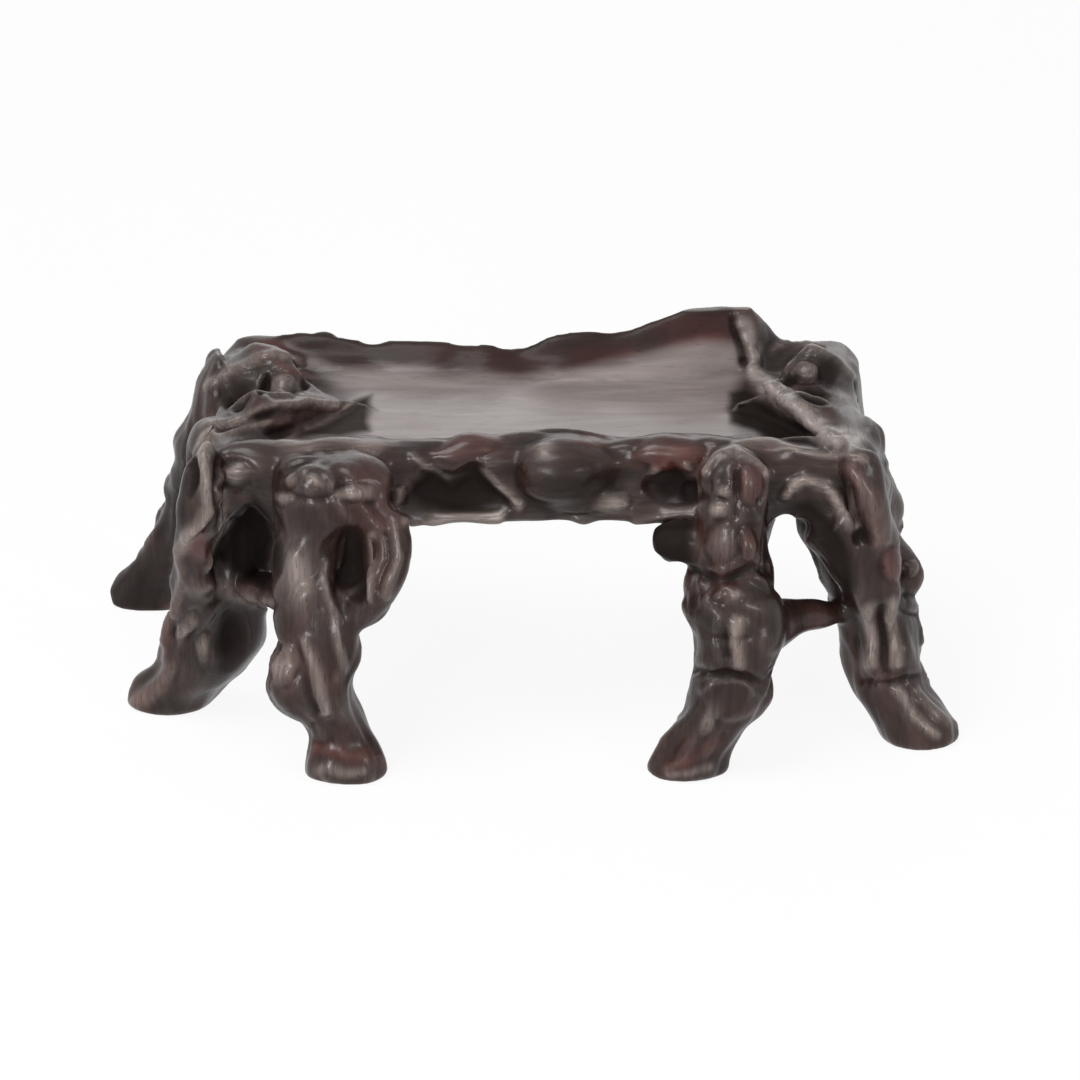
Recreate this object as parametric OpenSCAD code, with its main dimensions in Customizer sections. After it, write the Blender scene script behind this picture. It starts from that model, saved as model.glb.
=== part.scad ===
// Root-form hardwood display stand.
// A sunk tray panel floats in a mitred frame of four carved rails.
// Eight root legs stand under the frame, dowelled to it.
// Millimetres, +Z up, soles on z = 0, the long side along X.

/* [Frame] */
// Length of the frame over its corners
frame_l = 132; // [124:1:142]
// Depth of the frame over its corners
frame_w = 66; // [62:1:74]
// Height of the rails from underside to crest line
rail_h = 15.5; // [14.5:0.5:18]
// Width of the rails under the panel
rail_w = 15; // [13:0.5:17]
// Width of the rim beside the tray on the long sides
rim_w = 8; // [7:0.5:9]
// Width of the rim beside the tray on the short sides
side_rim = 15; // [13:0.5:17]
// Inward bow of the front at mid length
front_bow = 4; // [2:0.5:6]
// Inward bow of the back at mid length
back_bow = 9; // [7:0.5:10]
// Inward bow of the short sides at mid depth
side_bow = 3; // [1:0.5:4]
// Rounding of the outer corners, measured in from each side
corner_cut = 4; // [3:0.5:5]

/* [Tray] */
// Depth of the tray floor below the crest line
tray_depth = 4; // [3.5:0.5:5]
// Thickness of the panel at its raised field
panel_t = 4.5; // [4:0.5:5.5]
// Step down from the field to the tongue
field_step = 1; // [0.6:0.2:1.6]
// Reach of the tongue under the rim
tongue = 2.5; // [1.5:0.5:3]
// Reach of the left pointed root over the tray
left_cusp = 15; // [9:1:18]
// Reach of the right pointed root over the tray
right_cusp = 10; // [6:1:14]

/* [Legs] */
// Height of the rails' underside above the ground
leg_h = 49; // [44:1:56]
// Left front inner leg, from the left corner of the frame
fli_in = 21; // [20:0.5:24]
// Right front inner leg, from the right corner of the frame
fri_in = 30; // [28:0.5:33]
// Left back inner leg, from the left corner of the frame
bli_in = 22; // [21:0.5:25]
// Right back inner leg, from the right corner of the frame
bri_in = 24; // [23:0.5:27]
// Left front outer leg, from the front corner of the frame
flo_in = 20; // [19:0.5:22]
// Right front outer leg, from the front corner of the frame
fro_in = 19; // [18:0.5:21]
// Left back outer leg, from the back corner of the frame
blo_in = 17; // [17:0.5:19]
// Right back outer leg, from the back corner of the frame
bro_in = 18; // [17:0.5:20]
// Radius of the roots that bridge two legs
bridge_r = 2.4; // [1.8:0.2:2.8]

/* [Joinery] */
// Diameter of the dowels between leg and rail
dowel_d = 4; // [3:0.5:4.5]
// Length of a leg dowel in the leg, and in the rail
dowel_in = 6.5; // [5:0.5:7]
// Inset of a leg dowel from the rail's outer face
dowel_set = 6.4; // [6:0.2:7]
// Diameter of the dowels across the mitres
mitre_d = 3; // [2:0.5:3.5]
// Length of a mitre dowel
mitre_l = 9; // [7:0.5:10]
// Glue gap between a leg head and the rail's face
glue = 0.12; // [0.08:0.02:0.2]
// Side clearance of the panel in its grooves
panel_gap = 0.3; // [0.2:0.05:0.5]
// Radial clearance of dowels and bridging roots in their holes
hole_gap = 0.06; // [0.04:0.01:0.1]

/* [Hidden] */
$fn = 32;

// Sides of the frame, each a quarter turn on from the one before
FRONT = 0;
RIGHT = 1;
BACK = 2;
LEFT = 3;

// Levels
crest_z = leg_h + rail_h;
floor_z = crest_z - tray_depth;
ledge_z = floor_z - panel_t;
tongue_z = floor_z - field_step;
lip_z = tongue_z + hole_gap;

// Stations along a long and a short rail, points across a rail's top
LONG_N = 48;
SIDE_N = 32;
TOP_N = 6;
// Sides and rings of a leg, of a tube
LEG_SIDES = 16;
LEG_RINGS = 22;
TUBE_SIDES = 10;
TUBE_RINGS = 12;

WOOD = [0.24, 0.15, 0.12];
DARK_WOOD = [0.18, 0.11, 0.09];
PALE_WOOD = [0.45, 0.30, 0.20];

// Carving of each side, by place along the side from its middle (mm), so read for one side at a time.
// Crest swells: [place, rise, half width]
CREST = [
    [[3, 1.6, 15], [-40, 1.2, 12], [30, 1, 10], [54, 1, 9], [-57, 1, 8]],
    [[-12, 1.2, 12], [14, 2, 11]],
    [[-34, 9, 20], [-18, 2.6, 14], [-8, 3.2, 13], [46, 3, 16], [24, 2.6, 20], [2, 1.6, 16], [62, 1.8, 10]],
    [[-14, 2.4, 12], [12, 2, 10]],
];
// Burls and hollows on the outer face:
// [place, level in the rail from 0 to 1, rise, half width, half height]
FACE = [
    [[3, 0.66, 4.2, 11, 8.5], [-16, 0.5, -2.6, 9, 6], [21, 0.48, -2.6, 7, 6], [12, 0.2, 1.2, 9, 4]],
    [[0, 0.5, 1.6, 5, 7]],
    [[-14, 0.5, -2.4, 10, 6], [8, 0.5, 2.6, 9, 8], [-2, 0.2, 1.2, 8, 4]],
    [[-1, 0.5, 1.6, 5, 7]],
];
// Knots on the top: [place, inset from the side, rise, radius]
KNOTS = [
    [[-14, 4, 1.2, 5], [22, 4, 1, 5]],
    [[12, 8, 2.4, 7], [-16, 9, 2, 7], [3, 9, -1.2, 5]],
    [[10, 4, 1.2, 6], [-44, 4, 1.4, 6]],
    [[-14, 9, 2.4, 7], [15, 8, 2, 7], [-3, 9, -1.2, 5]],
];
// Place of the pointed root on the short sides, as a share of the half side
CUSP_AT = [0, -0.125, 0, 0];
CUSP_LEN = [0, right_cusp, 0, left_cusp];
CUSP_SPREAD = 0.6;

function half_len(side) = (side % 2 == 0 ? frame_l : frame_w) / 2;
function half_dep(side) = (side % 2 == 0 ? frame_w : frame_l) / 2;
function bow(side) = [front_bow, side_bow, back_bow, side_bow][side];
function count(side) = side % 2 == 0 ? LONG_N : SIDE_N;
function spin(p, side) =
    side == FRONT ? p : side == RIGHT ? [-p.y, p.x] : side == BACK ? -p : [p.y, -p.x];

// A swell that is 1 at its middle and falls smoothly to nothing at its edge
function swell(d) = abs(d) < 1 ? pow(1 - d * d, 2) : 0;
function sum(list, i = 0) = i < len(list) ? list[i] + sum(list, i + 1) : 0;
function ease(x) = let (k = min(1, max(0, x))) k * k * (3 - 2 * k);

// Inset that also rounds the outer corner: t runs from -1 to 1 along a side
CORNER_RUN = 0.14;
function inset(t, d) =
    d + max(0, corner_cut - d) * pow(max(0, 1 - (1 - abs(t)) / CORNER_RUN), 2);
// Place along a side, and depth in from the line of the corners
function along(side, t, d) = t * (half_len(side) - max(d, corner_cut));
function depth(side, t, d) = bow(side) * (1 - t * t) + inset(t, d);
function side_point(side, t, d) = [along(side, t, d), depth(side, t, d) - half_dep(side)];

// Inset of the tray's edge: level on a long side, lobed with a pointed root on a short one
LOBE_RUN = 0.4;
function rim(side, t) = side % 2 == 0 ? rim_w
    : rim_w + (side_rim - rim_w) * ease((1 - abs(t)) / LOBE_RUN)
        + CUSP_LEN[side] * pow(max(0, 1 - abs(t - CUSP_AT[side]) / CUSP_SPREAD), 2);

// Carved height of the crest, and of a point across the top
END_RUN = 9;
function end_fade(side, u) = ease((half_len(side) - abs(u)) / END_RUN);
function crest(side, u) =
    crest_z + end_fade(side, u) * sum([for (c = CREST[side]) c[1] * swell((u - c[0]) / c[2])]);
function knots(side, u, d) =
    sum([for (k = KNOTS[side]) k[2] * swell(norm([u - k[0], d - k[1]]) / k[3])]);
// Fall of the top to its outer and inner edges, and along a pointed root
OUTER_FALL = 2.4;
INNER_FALL = 1.2;
CUSP_FALL = 0.9;
// Share of a side's height over the floor that its top falls, in a cove, toward the tray
COVE = [0, 0, 0.72, 0];
COVE_FROM = 0.17;
COVE_RUN = 14;
function cove(side, u, f) =
    COVE[side] * ease((half_len(side) - corner_cut - abs(u)) / COVE_RUN) * (crest(side, u) - floor_z)
        * (1 - pow(1 - max(0, f - COVE_FROM) / (1 - COVE_FROM), 2));
function top_z(side, u, d, f) =
    crest(side, u) + end_fade(side, u) * knots(side, u, d) - cove(side, u, f)
        - (f < 0.5 ? OUTER_FALL : INNER_FALL) * pow(abs(2 * f - 1), 3)
        - CUSP_FALL * max(0, d - side_rim) / left_cusp;
// Outward rise of the face at a level
function face(side, u, z) = end_fade(side, u) * sum([
    for (b = FACE[side]) b[2] * swell((u - b[0]) / b[3]) * swell((z - leg_h - b[1] * rail_h) / b[4])
]);

// Section of a rail, from the foot of the outer face over the top and back under
FACE_LEVELS = [0, 0.3, 0.65, 1];
EDGE_FALL = 2.6;
function outer_levels(side, u) = concat(
    [for (k = FACE_LEVELS) leg_h + k * (ledge_z - leg_h)],
    [lip_z, crest(side, u) - EDGE_FALL]
);
GROOVE_D = rim_w - tongue - panel_gap;
function section(side, t) =
    let (u = along(side, t, 0), r = rim(side, t))
    concat(
        [for (z = outer_levels(side, u)) concat(side_point(side, t, -face(side, u, z)), z)],
        [for (i = [1:TOP_N])
            let (f = i / TOP_N, d = f * r)
            concat(side_point(side, t, d), top_z(side, u, d, f))],
        [for (e = [[r, lip_z], [GROOVE_D, lip_z], [GROOVE_D, ledge_z], [rail_w, ledge_z], [rail_w, leg_h]])
            concat(side_point(side, t, e[0]), e[1])]
    );

// Skin over rings of n points each, in triangles
function skin(rings, n) = [
    for (i = [0:rings - 2]) for (j = [0:n - 1])
        let (a = i * n + j, b = i * n + (j + 1) % n)
        each [[a, b, b + n], [a, b + n, a + n]]
];
// The same face turned over, its fan still from the first point
function flip(f) = [for (i = [len(f):-1:1]) f[i % len(f)]];

module rail_blank(side) {
    steps = count(side);
    rings = [for (i = [0:steps]) section(side, 2 * i / steps - 1)];
    n = len(rings[0]);
    wall = 5 + TOP_N + 1;
    // Each end is three fans: below the groove, beside it and over it
    cap = [
        [wall + 4, 0, 1, 2, 3, wall + 2, wall + 3],
        [wall + 2, 3, 4, wall + 1],
        concat([wall + 1], [for (i = [4:wall]) i]),
    ];
    far = steps * n;
    faces = concat(
        skin(steps + 1, n),
        [for (c = cap) flip(c)],
        [for (c = cap) [for (i = c) i + far]]
    );
    rotate(90 * side) polyhedron(points = [for (r = rings) each r], faces = faces, convexity = 8);
}

// Outline of the frame at an inset, or at an inset plus that of the tray's edge
function outline(d, edge = false) = [
    for (side = [FRONT:LEFT]) for (i = [0:count(side) - 1])
        let (t = 2 * i / count(side) - 1)
        spin(side_point(side, t, d + (edge ? rim(side, t) : 0)), side)
];

// Legs: [side, place of the seat along the side, stations]
// A station is [level, shift toward mid side, reach out of the frame, half width, half reach];
// levels run from 0 at the sole to 1 under the rail and 2 at the crest
FLI = 0;
FRI = 1;
BLI = 2;
BRI = 3;
FLO = 4;
FRO = 5;
BLO = 6;
BRO = 7;
LEGS = [
    [FRONT, fli_in - frame_l / 2, [
        [0, 6.5, 5.6, 8.5, 6], [0.06, 6.3, 5.8, 8.3, 6], [0.15, 6.1, 5.6, 6.8, 5.2],
        [0.25, 3.7, 5.4, 6.5, 5.4], [0.36, 0.8, 6, 8.1, 6.6], [0.46, 0.8, 6, 8.4, 7],
        [0.58, 2, 5.5, 8.3, 7.2], [0.7, 1, 3.5, 8, 8.4], [0.85, -0.8, -1.2, 6.8, 11.9],
        [0.98, -0.4, -1.8, 6.9, 12], [1.1, 1, 0, 7.5, 9], [1.4, 4, 1.5, 11.5, 7.5],
        [1.75, 5, 1.5, 12.3, 7], [1.95, 5, 0.8, 10, 5.5], [2.02, 5, 0.3, 5, 3],
    ]],
    [FRONT, frame_l / 2 - fri_in, [
        [0, 8, 5.4, 8.3, 6], [0.08, 7.1, 5.6, 8, 6], [0.19, 4.3, 5.8, 7.3, 5.6],
        [0.29, 0.7, 6.5, 8.3, 6.6], [0.4, 0, 6.5, 8.5, 7], [0.5, -0.2, 6, 7.4, 6.8],
        [0.6, -2, 6, 8.2, 7.2], [0.72, 0, 4, 9.5, 8.6], [0.81, -0.7, 0, 8.6, 12],
        [0.91, -0.5, -1.8, 7, 12.4], [0.98, -0.4, -2, 6.9, 12.4], [1.15, -0.7, 0.5, 6.5, 8],
        [1.5, -0.8, 1.5, 7, 6.5], [1.8, -0.7, 1.5, 6.8, 6], [1.97, -0.7, 0.8, 5, 4.5],
        [2.03, -0.7, 0.3, 2.5, 2.5],
    ]],
    [BACK, frame_l / 2 - bli_in, [
        [0, -3, 10, 8, 6.5], [0.08, -3, 9.5, 7.8, 6.3], [0.2, -3.5, 8, 6.8, 5.8],
        [0.32, -3.6, 7, 8, 6.5], [0.45, -2.8, 7, 8.4, 7], [0.58, -0.8, 5.5, 7.8, 7.4],
        [0.7, 0.4, 3, 8.6, 8.8], [0.81, 0.2, -2.4, 8, 13], [0.91, 0, -3.8, 7.2, 13.2],
        [0.98, 0, -4, 7.1, 13.2], [1.15, 0.5, -1.5, 7, 9], [1.5, 1, -0.5, 8, 7.5],
        [1.75, 1, -0.5, 7.6, 6.5], [1.92, 1, -1.2, 5.5, 5], [1.98, 1, -1.7, 2.8, 2.5],
    ]],
    [BACK, bri_in - frame_l / 2, [
        [0, 0.5, 10, 7.5, 6.5], [0.07, 0.5, 9.5, 7.4, 6.3], [0.16, 0, 8, 6.2, 5.6],
        [0.26, -0.5, 7, 6, 5.6], [0.37, -1, 6.5, 7, 6.5], [0.48, -0.5, 6, 7.5, 7],
        [0.6, 0, 5, 7.2, 7.4], [0.72, 0, 1.4, 7.5, 9.8], [0.85, 0, -3.6, 7, 13.2],
        [0.98, 0, -4.2, 7.1, 13.3], [1.1, 0.5, -2, 7, 9.6], [1.4, 1, -0.5, 9, 8],
        [1.75, 1, -0.5, 9.5, 7.5], [1.95, 1, -1.2, 7, 6], [2.02, 1, -1.7, 4, 3],
    ]],
    [LEFT, frame_w / 2 - flo_in, [
        [0, 7, 9.4, 6, 8.8], [0.1, 6, 7.4, 6.5, 10], [0.2, 4, 2.4, 6.5, 9.5], [0.33, 2, -0.4, 7.5, 10.4],
        [0.45, 1, -1.7, 7.5, 9.9], [0.6, 0, -3.1, 7, 8.8], [0.75, 0, -4, 7, 9.4],
        [0.88, 0, -4.6, 7.5, 10], [0.98, 0, -4.5, 8, 10], [1.12, -1, -3.5, 8, 8.5], [1.4, -2, -3, 9, 7],
        [1.75, -2, -3, 9, 6.6], [1.95, -2, -3.2, 6.5, 5], [2.02, -2, -3.4, 3, 2.5],
    ]],
    [RIGHT, fro_in - frame_w / 2, [
        [0, -11, 9.5, 6, 8], [0.09, -10.5, 8, 6.5, 8.7], [0.2, -9, 3.5, 6.5, 7.7],
        [0.3, -8, 2.2, 7, 8.3], [0.41, -7, 1.4, 7.5, 8.3], [0.51, -6, 0.5, 7.5, 8.2],
        [0.62, -5, -0.8, 8, 9.2], [0.72, -4.5, -1.7, 8, 10.2], [0.83, -3, -4.4, 8, 10.2],
        [0.93, -2, -6, 8, 9.6], [0.99, -1, -6.2, 8, 9.4], [1.12, -1, -5, 8, 7.6],
        [1.4, -2, -4.8, 8.5, 6.2], [1.75, -2, -4.6, 8, 5.6], [1.95, -2, -4, 6, 4.5],
        [2.02, -2, -4, 3, 2],
    ]],
    [LEFT, blo_in - frame_w / 2, [
        [0, -30, 16, 6.5, 9], [0.1, -29, 15.5, 6.5, 9.3], [0.22, -26, 11.5, 7, 7.6],
        [0.33, -22, 7.8, 7.5, 7.6], [0.45, -18, 5.6, 7.5, 7.6], [0.56, -15, 4, 7.5, 7.8],
        [0.68, -12, 3.2, 7.5, 8.6], [0.78, -6, -0.9, 7.9, 11.4], [0.9, -1.8, -3.2, 8.4, 12.4],
        [0.99, -0.8, -3.2, 8.3, 12.1], [1.12, -1, -2.9, 7.5, 9.4], [1.4, 0, -2.8, 8, 7.4],
        [1.8, 0, -2.9, 7.5, 6.5], [2.08, 0, -3.8, 5.8, 4], [2.16, 0, -4, 3, 2],
    ]],
    [RIGHT, frame_w / 2 - bro_in, [
        [0, -27, 4, 6.5, 8], [0.1, -26, 3.5, 6.5, 8], [0.22, -23, 1.5, 6.5, 7], [0.35, -19, 1, 7, 7.6],
        [0.5, -14, 1, 7.5, 8.2], [0.65, -10, 0, 8, 8.6], [0.8, -4.6, -3, 8, 9.8],
        [0.92, -1.6, -5.2, 8.2, 10.2], [0.99, -0.8, -5.8, 8, 10], [1.12, -1, -5.6, 8, 7],
        [1.4, -1, -5.4, 8.5, 5.4], [1.75, -1, -5.4, 8, 4.8], [1.95, -1, -5.2, 6, 3.8],
        [2.02, -1, -5, 3, 2],
    ]],
];

function level_z(f) = f <= 1 ? f * leg_h : leg_h + (f - 1) * rail_h;
// Smooth curve through listed points
function curve(p, t) =
    let (
        i = min(floor(t), len(p) - 2), f = t - i,
        a = p[max(i - 1, 0)], b = p[i], c = p[i + 1], d = p[min(i + 2, len(p) - 1)]
    )
    (2 * b + (c - a) * f + (2 * a - 5 * b + 4 * c - d) * f * f + (3 * b - a - 3 * c + d) * f * f * f) / 2;
// World place of a point given by level, shift toward mid side and reach
function leg_place(leg, s) =
    let (g = LEGS[leg], u = g[1] - sign(g[1]) * s[1], p = spin([u, -half_dep(g[0]) - s[2]], g[0]))
    [p.x, p.y, level_z(s[0])];
// World place of the leg's middle at a station
function leg_axis(leg, t) = leg_place(leg, curve(LEGS[leg][2], t));

// Three shallow lobes round a leg, turning as they climb
LOBE = 0.1;
LOBE_TURN = 110;
function lobed(angle, level) = 1 - LOBE * (0.5 + 0.5 * cos(3 * angle + LOBE_TURN * level));
function leg_ring(leg, s) = [
    for (j = [0:LEG_SIDES - 1])
        let (w = -360 * j / LEG_SIDES, k = lobed(w, s[0]))
        leg_place(leg, [max(0, s[0]), s[1] + k * s[3] * cos(w), s[2] + k * s[4] * sin(w)])
];
function leg_rings(leg) =
    let (p = LEGS[leg][2])
    [for (i = [0:LEG_RINGS]) leg_ring(leg, curve(p, i * (len(p) - 1) / LEG_RINGS))];

// Solid through rings, closed at both ends by fans
module loft(rings, turned = false) {
    n = len(rings[0]);
    last = (len(rings) - 1) * n;
    body = concat(
        skin(len(rings), n),
        [[for (j = [n - 1:-1:0]) j], [for (j = [0:n - 1]) last + j]]
    );
    points = [for (r = rings) each r];
    polyhedron(points = points, faces = turned ? body : [for (f = body) flip(f)], convexity = 8);
}

function unit(v) = v / norm(v);
// Ring of a tube, square to its run; ref is any direction the tube never takes
function tube_ring(p, run, r, ref) =
    let (a = unit(cross(run, ref)), b = cross(a, unit(run)))
    [for (j = [0:TUBE_SIDES - 1])
        let (w = 360 * j / TUBE_SIDES)
        p + r * (a * cos(w) + b * sin(w))];
// Tube through points [x, y, z, radius]
module tube(path, ref, rings = TUBE_RINGS) {
    at = [for (i = [0:rings]) curve(path, i * (len(path) - 1) / rings)];
    mid = [for (q = at) [q[0], q[1], q[2]]];
    loft([
        for (i = [0:rings])
            tube_ring(mid[i], mid[min(i + 1, rings)] - mid[max(i - 1, 0)], at[i][3], ref)
    ], true);
}
// Cylinder from one point to another
module rod(a, b, r) {
    v = b - a;
    translate(a)
        rotate([0, acos(v.z / norm(v)), atan2(v.y, v.x)])
            cylinder(h = norm(v), r = r);
}

// Bridging roots: [leg it grows from, station there, leg it enters, station there, clear reach of that leg]
BRIDGES = [
    [FLI, 6.6, FLO, 5.6, 9.6],
    [FRI, 5.5, FRO, 5.5, 11.8],
    [BLI, 6, BLO, 5.8, 9.9],
    [BRI, 6.8, BRO, 5.2, 9.6],
];
// Depth of the round end in its socket, and its bare length outside
SOCKET_IN = 4;
SOCKET_OUT = 2;
// Rise of a bridging root at mid span, its straight end, and its radii as multiples of bridge_r
BRIDGE_RISE = 1.2;
BRIDGE_END = 1.5;
BRIDGE_RADII = [2.3, 1.5, 1.35, 1.3];
function bridge_run(b) = unit(leg_axis(b[2], b[3]) - leg_axis(b[0], b[1]));
// Where the round end starts, outside the leg it enters, and where it stops inside
function bridge_neck(b) = leg_axis(b[2], b[3]) - bridge_run(b) * b[4];
function bridge_tip(b) = leg_axis(b[2], b[3]) - bridge_run(b) * (b[4] - SOCKET_OUT - SOCKET_IN);

module bridge(b) {
    start = leg_axis(b[0], b[1]);
    neck = bridge_neck(b);
    run = bridge_run(b);
    middle = (start + neck) / 2 + [0, 0, BRIDGE_RISE];
    path = [start, middle, neck - run * BRIDGE_END, neck];
    tube([for (i = [0:3]) concat(path[i], BRIDGE_RADII[i] * bridge_r)], [0, 0, 1]);
    rod(neck - run * BRIDGE_END / 2, bridge_tip(b), bridge_r);
}
module bridge_socket(b) {
    run = bridge_run(b);
    rod(bridge_neck(b) - run * SOCKET_OUT, bridge_tip(b) + run * hole_gap, bridge_r + hole_gap);
}

// Dowels: one over each leg's seat, one across each mitre
function dowel_at(leg) =
    let (g = LEGS[leg], t = g[1] / half_len(g[0]))
    spin([g[1], depth(g[0], t, dowel_set) - half_dep(g[0])], g[0]);
module leg_dowel(leg, gap = 0) {
    p = dowel_at(leg);
    translate([p.x, p.y, leg_h - dowel_in - gap])
        cylinder(h = 2 * (dowel_in + gap), d = dowel_d + 2 * gap);
}
MITRE_IN = 10;
MITRE_LEVEL = 0.42;
mitre_z = leg_h + MITRE_LEVEL * (ledge_z - leg_h);
module mitre_dowel(side, gap = 0) {
    p = spin([half_len(side) - MITRE_IN, MITRE_IN - half_dep(side)], side);
    translate([p.x, p.y, mitre_z])
        rotate([90, 0, 90 * side + 135])
            cylinder(h = mitre_l + 2 * gap, d = mitre_d + 2 * gap, center = true);
}

// All pieces share one origin: under the middle of the whole stand
leg_cloud = [for (leg = [FLI:BRO]) each [for (r = leg_rings(leg)) each r]];
xs = [for (p = leg_cloud) p.x];
ys = [for (p = leg_cloud) p.y];
module on_datum() {
    translate([-(min(xs) + max(xs)) / 2, -(min(ys) + max(ys)) / 2, 0]) children();
}

module tray_panel() {
    color(DARK_WOOD) on_datum() {
        translate([0, 0, ledge_z])
            linear_extrude(panel_t - field_step)
                polygon(outline(rim_w - tongue));
        translate([0, 0, ledge_z])
            linear_extrude(panel_t)
                polygon(outline(panel_gap, true));
    }
}

module rail(side) {
    color(WOOD) on_datum() difference() {
        rail_blank(side);
        for (leg = [FLI:BRO])
            if (LEGS[leg][0] == side)
                leg_dowel(leg, hole_gap);
        mitre_dowel(side, hole_gap);
        mitre_dowel((side + 3) % 4, hole_gap);
    }
}
module front_rail() { rail(FRONT); }
module right_rail() { rail(RIGHT); }
module back_rail() { rail(BACK); }
module left_rail() { rail(LEFT); }

// A leg with its seat cut to the frame; children are its branches
module leg(which) {
    color(WOOD) on_datum() difference() {
        union() {
            loft(leg_rings(which), LEGS[which][1] > 0);
            sinews(which);
            children();
        }
        translate([0, 0, leg_h])
            linear_extrude(2 * rail_h)
                polygon(outline(-glue));
        leg_dowel(which, hole_gap);
        for (b = BRIDGES)
            if (b[2] == which)
                bridge_socket(b);
    }
}
// Branch of a leg, through points [level, shift, reach, radius]
module branch(which, path) {
    tube([for (s = path) concat(leg_place(which, s), s[3])], [0, 1, 0]);
}

// Strands that run down a leg, half sunk in it: [leg, first station, last, angle, turn, radius]
SINEWS = [
    [FLI, 2.6, 6.4, 40, 18, 2.3], [FLI, 3, 6, 150, -24, 2.4],
    [FRI, 3.6, 6.8, 56, -10, 2.2], [FRI, 3.4, 6.4, 110, 4, 1.9], [FRI, 8.6, 11.6, 112, 10, 2.8],
    [BLI, 1.8, 6.4, 60, 24, 3], [BLI, 2, 6.6, 122, 20, 3],
    [BRI, 1.8, 6.8, 74, -26, 2.8], [BRI, 2.2, 6.8, 128, 18, 2.8],
    [FLO, 1.6, 5, 118, -34, 2.8],
    [FRO, 2.4, 6, 150, 16, 2.6], [FRO, 2.2, 5.6, 196, 10, 2.4], [FRO, 5.4, 8, 100, 14, 3],
    [BLO, 1.4, 6.4, 70, 30, 3.2], [BLO, 1.8, 6.8, 134, 14, 3], [BLO, 2, 6, 196, 16, 2.8],
    [BRO, 1.4, 6.2, 64, 36, 3.2], [BRO, 1.6, 6.4, 130, 16, 3.2], [BRO, 1.8, 5.8, 200, 10, 2.8],
];
SINEW_RINGS = 8;
// Share of its radius that a strand is sunk at its ends and at mid length, and its end radius
SINEW_SINK = [1.35, 0.5];
SINEW_END = 0.55;
function sinew_point(g, f) =
    let (
        s = curve(LEGS[g[0]][2], g[1] + f * (g[2] - g[1])),
        swell = sin(180 * f),
        r = g[5] * (SINEW_END + (1 - SINEW_END) * swell),
        sink = r * (SINEW_SINK[0] + (SINEW_SINK[1] - SINEW_SINK[0]) * swell),
        w = g[3] + g[4] * f,
        k = lobed(w, s[0])
    )
    concat(
        leg_place(g[0], [s[0], s[1] + (k * s[3] - sink) * cos(w), s[2] + (k * s[4] - sink) * sin(w)]), r
    );
module sinews(which) {
    for (g = SINEWS)
        if (g[0] == which)
            tube([for (i = [0:4]) sinew_point(g, i / 4)], [0, 1, 0], SINEW_RINGS);
}

module front_left_inner_leg() {
    leg(FLI) {
        bridge(BRIDGES[0]);
        branch(FLI, [
            [0.64, 4, 5.5, 3.4], [0.74, 11, 7.5, 3.2], [0.88, 15.4, 8, 2.9],
            [1.05, 16.2, 6.5, 3], [1.3, 14, 4.5, 3.6], [1.5, 8, 3, 3.5],
        ]);
        branch(FLI, [[0.62, 2, 1, 4.4], [0.8, 8.4, 1.2, 5.4], [1, 10, 0.6, 5.4], [1.35, 6, 0.4, 4]]);
    }
}
module front_right_inner_leg() {
    leg(FRI) {
        bridge(BRIDGES[1]);
        branch(FRI, [[0.86, 0, 2, 3.6], [0.93, 6, 0.5, 3.8], [0.95, 11, 0, 3.6], [0.955, 14.6, 0, 2.2]]);
    }
}
module back_left_inner_leg() { leg(BLI) bridge(BRIDGES[2]); }
module back_right_inner_leg() { leg(BRI) bridge(BRIDGES[3]); }
// The front outer legs also have a root that climbs round the corner of the frame
module front_left_outer_leg() {
    leg(FLO)
        branch(FLO, [
            [0.24, 1, 3, 3], [0.42, -2.4, 3.4, 3.6], [0.6, -6.4, 3.2, 3.8], [0.8, -11.4, 2.4, 3.7],
            [1, -15.6, 1.4, 3.6], [1.25, -18.5, 0.4, 3.7], [1.6, -19.3, -0.4, 3.8],
            [1.87, -18.7, -1.5, 3.5], [2.03, -17.8, -2, 2.2],
        ]);
}
module front_right_outer_leg() {
    leg(FRO) {
        branch(FRO, [
            [0.5, -6, 0.6, 4.2], [0.64, -11, -1.8, 4.6], [0.8, -14.6, -5.2, 4.6],
            [0.93, -16.6, -8.8, 4.4], [1.02, -17.4, -12, 4],
        ]);
        branch(FRO, [
            [0.24, -8.6, 2, 3], [0.42, -9.4, 1.6, 3.6], [0.6, -11.4, 1, 3.7], [0.8, -14.2, 0.2, 3.7],
            [1, -16.8, -1.4, 3.7], [1.25, -18.6, -2.5, 3.7], [1.62, -19, -3.8, 3.7],
            [1.88, -18.4, -4.6, 3.4], [2.02, -17.6, -4.4, 2.2],
        ]);
    }
}
module back_left_outer_leg() { leg(BLO); }
module back_right_outer_leg() { leg(BRO); }

module leg_dowels() {
    color(PALE_WOOD) on_datum() for (which = [FLI:BRO]) leg_dowel(which);
}
module corner_dowels() {
    color(PALE_WOOD) on_datum() for (side = [FRONT:LEFT]) mitre_dowel(side);
}

tray_panel();
front_rail();
right_rail();
back_rail();
left_rail();
front_left_inner_leg();
front_right_inner_leg();
back_left_inner_leg();
back_right_inner_leg();
front_left_outer_leg();
front_right_outer_leg();
back_left_outer_leg();
back_right_outer_leg();
leg_dowels();
corner_dowels();
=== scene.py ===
"""Looks of a small root-form hardwood display stand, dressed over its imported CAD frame.

The rails, legs and tray panel are carved as one continuous root skin, grown from the CAD solids,
and then parted again into one piece for each node. The dowels keep their CAD solids.
Sizes are in metres in the CAD frame, and carving marks are read off the photograph's pixels.
"""

import logging
import math
from dataclasses import dataclass, field
from enum import Enum
from typing import Mapping, Sequence, Union

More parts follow.
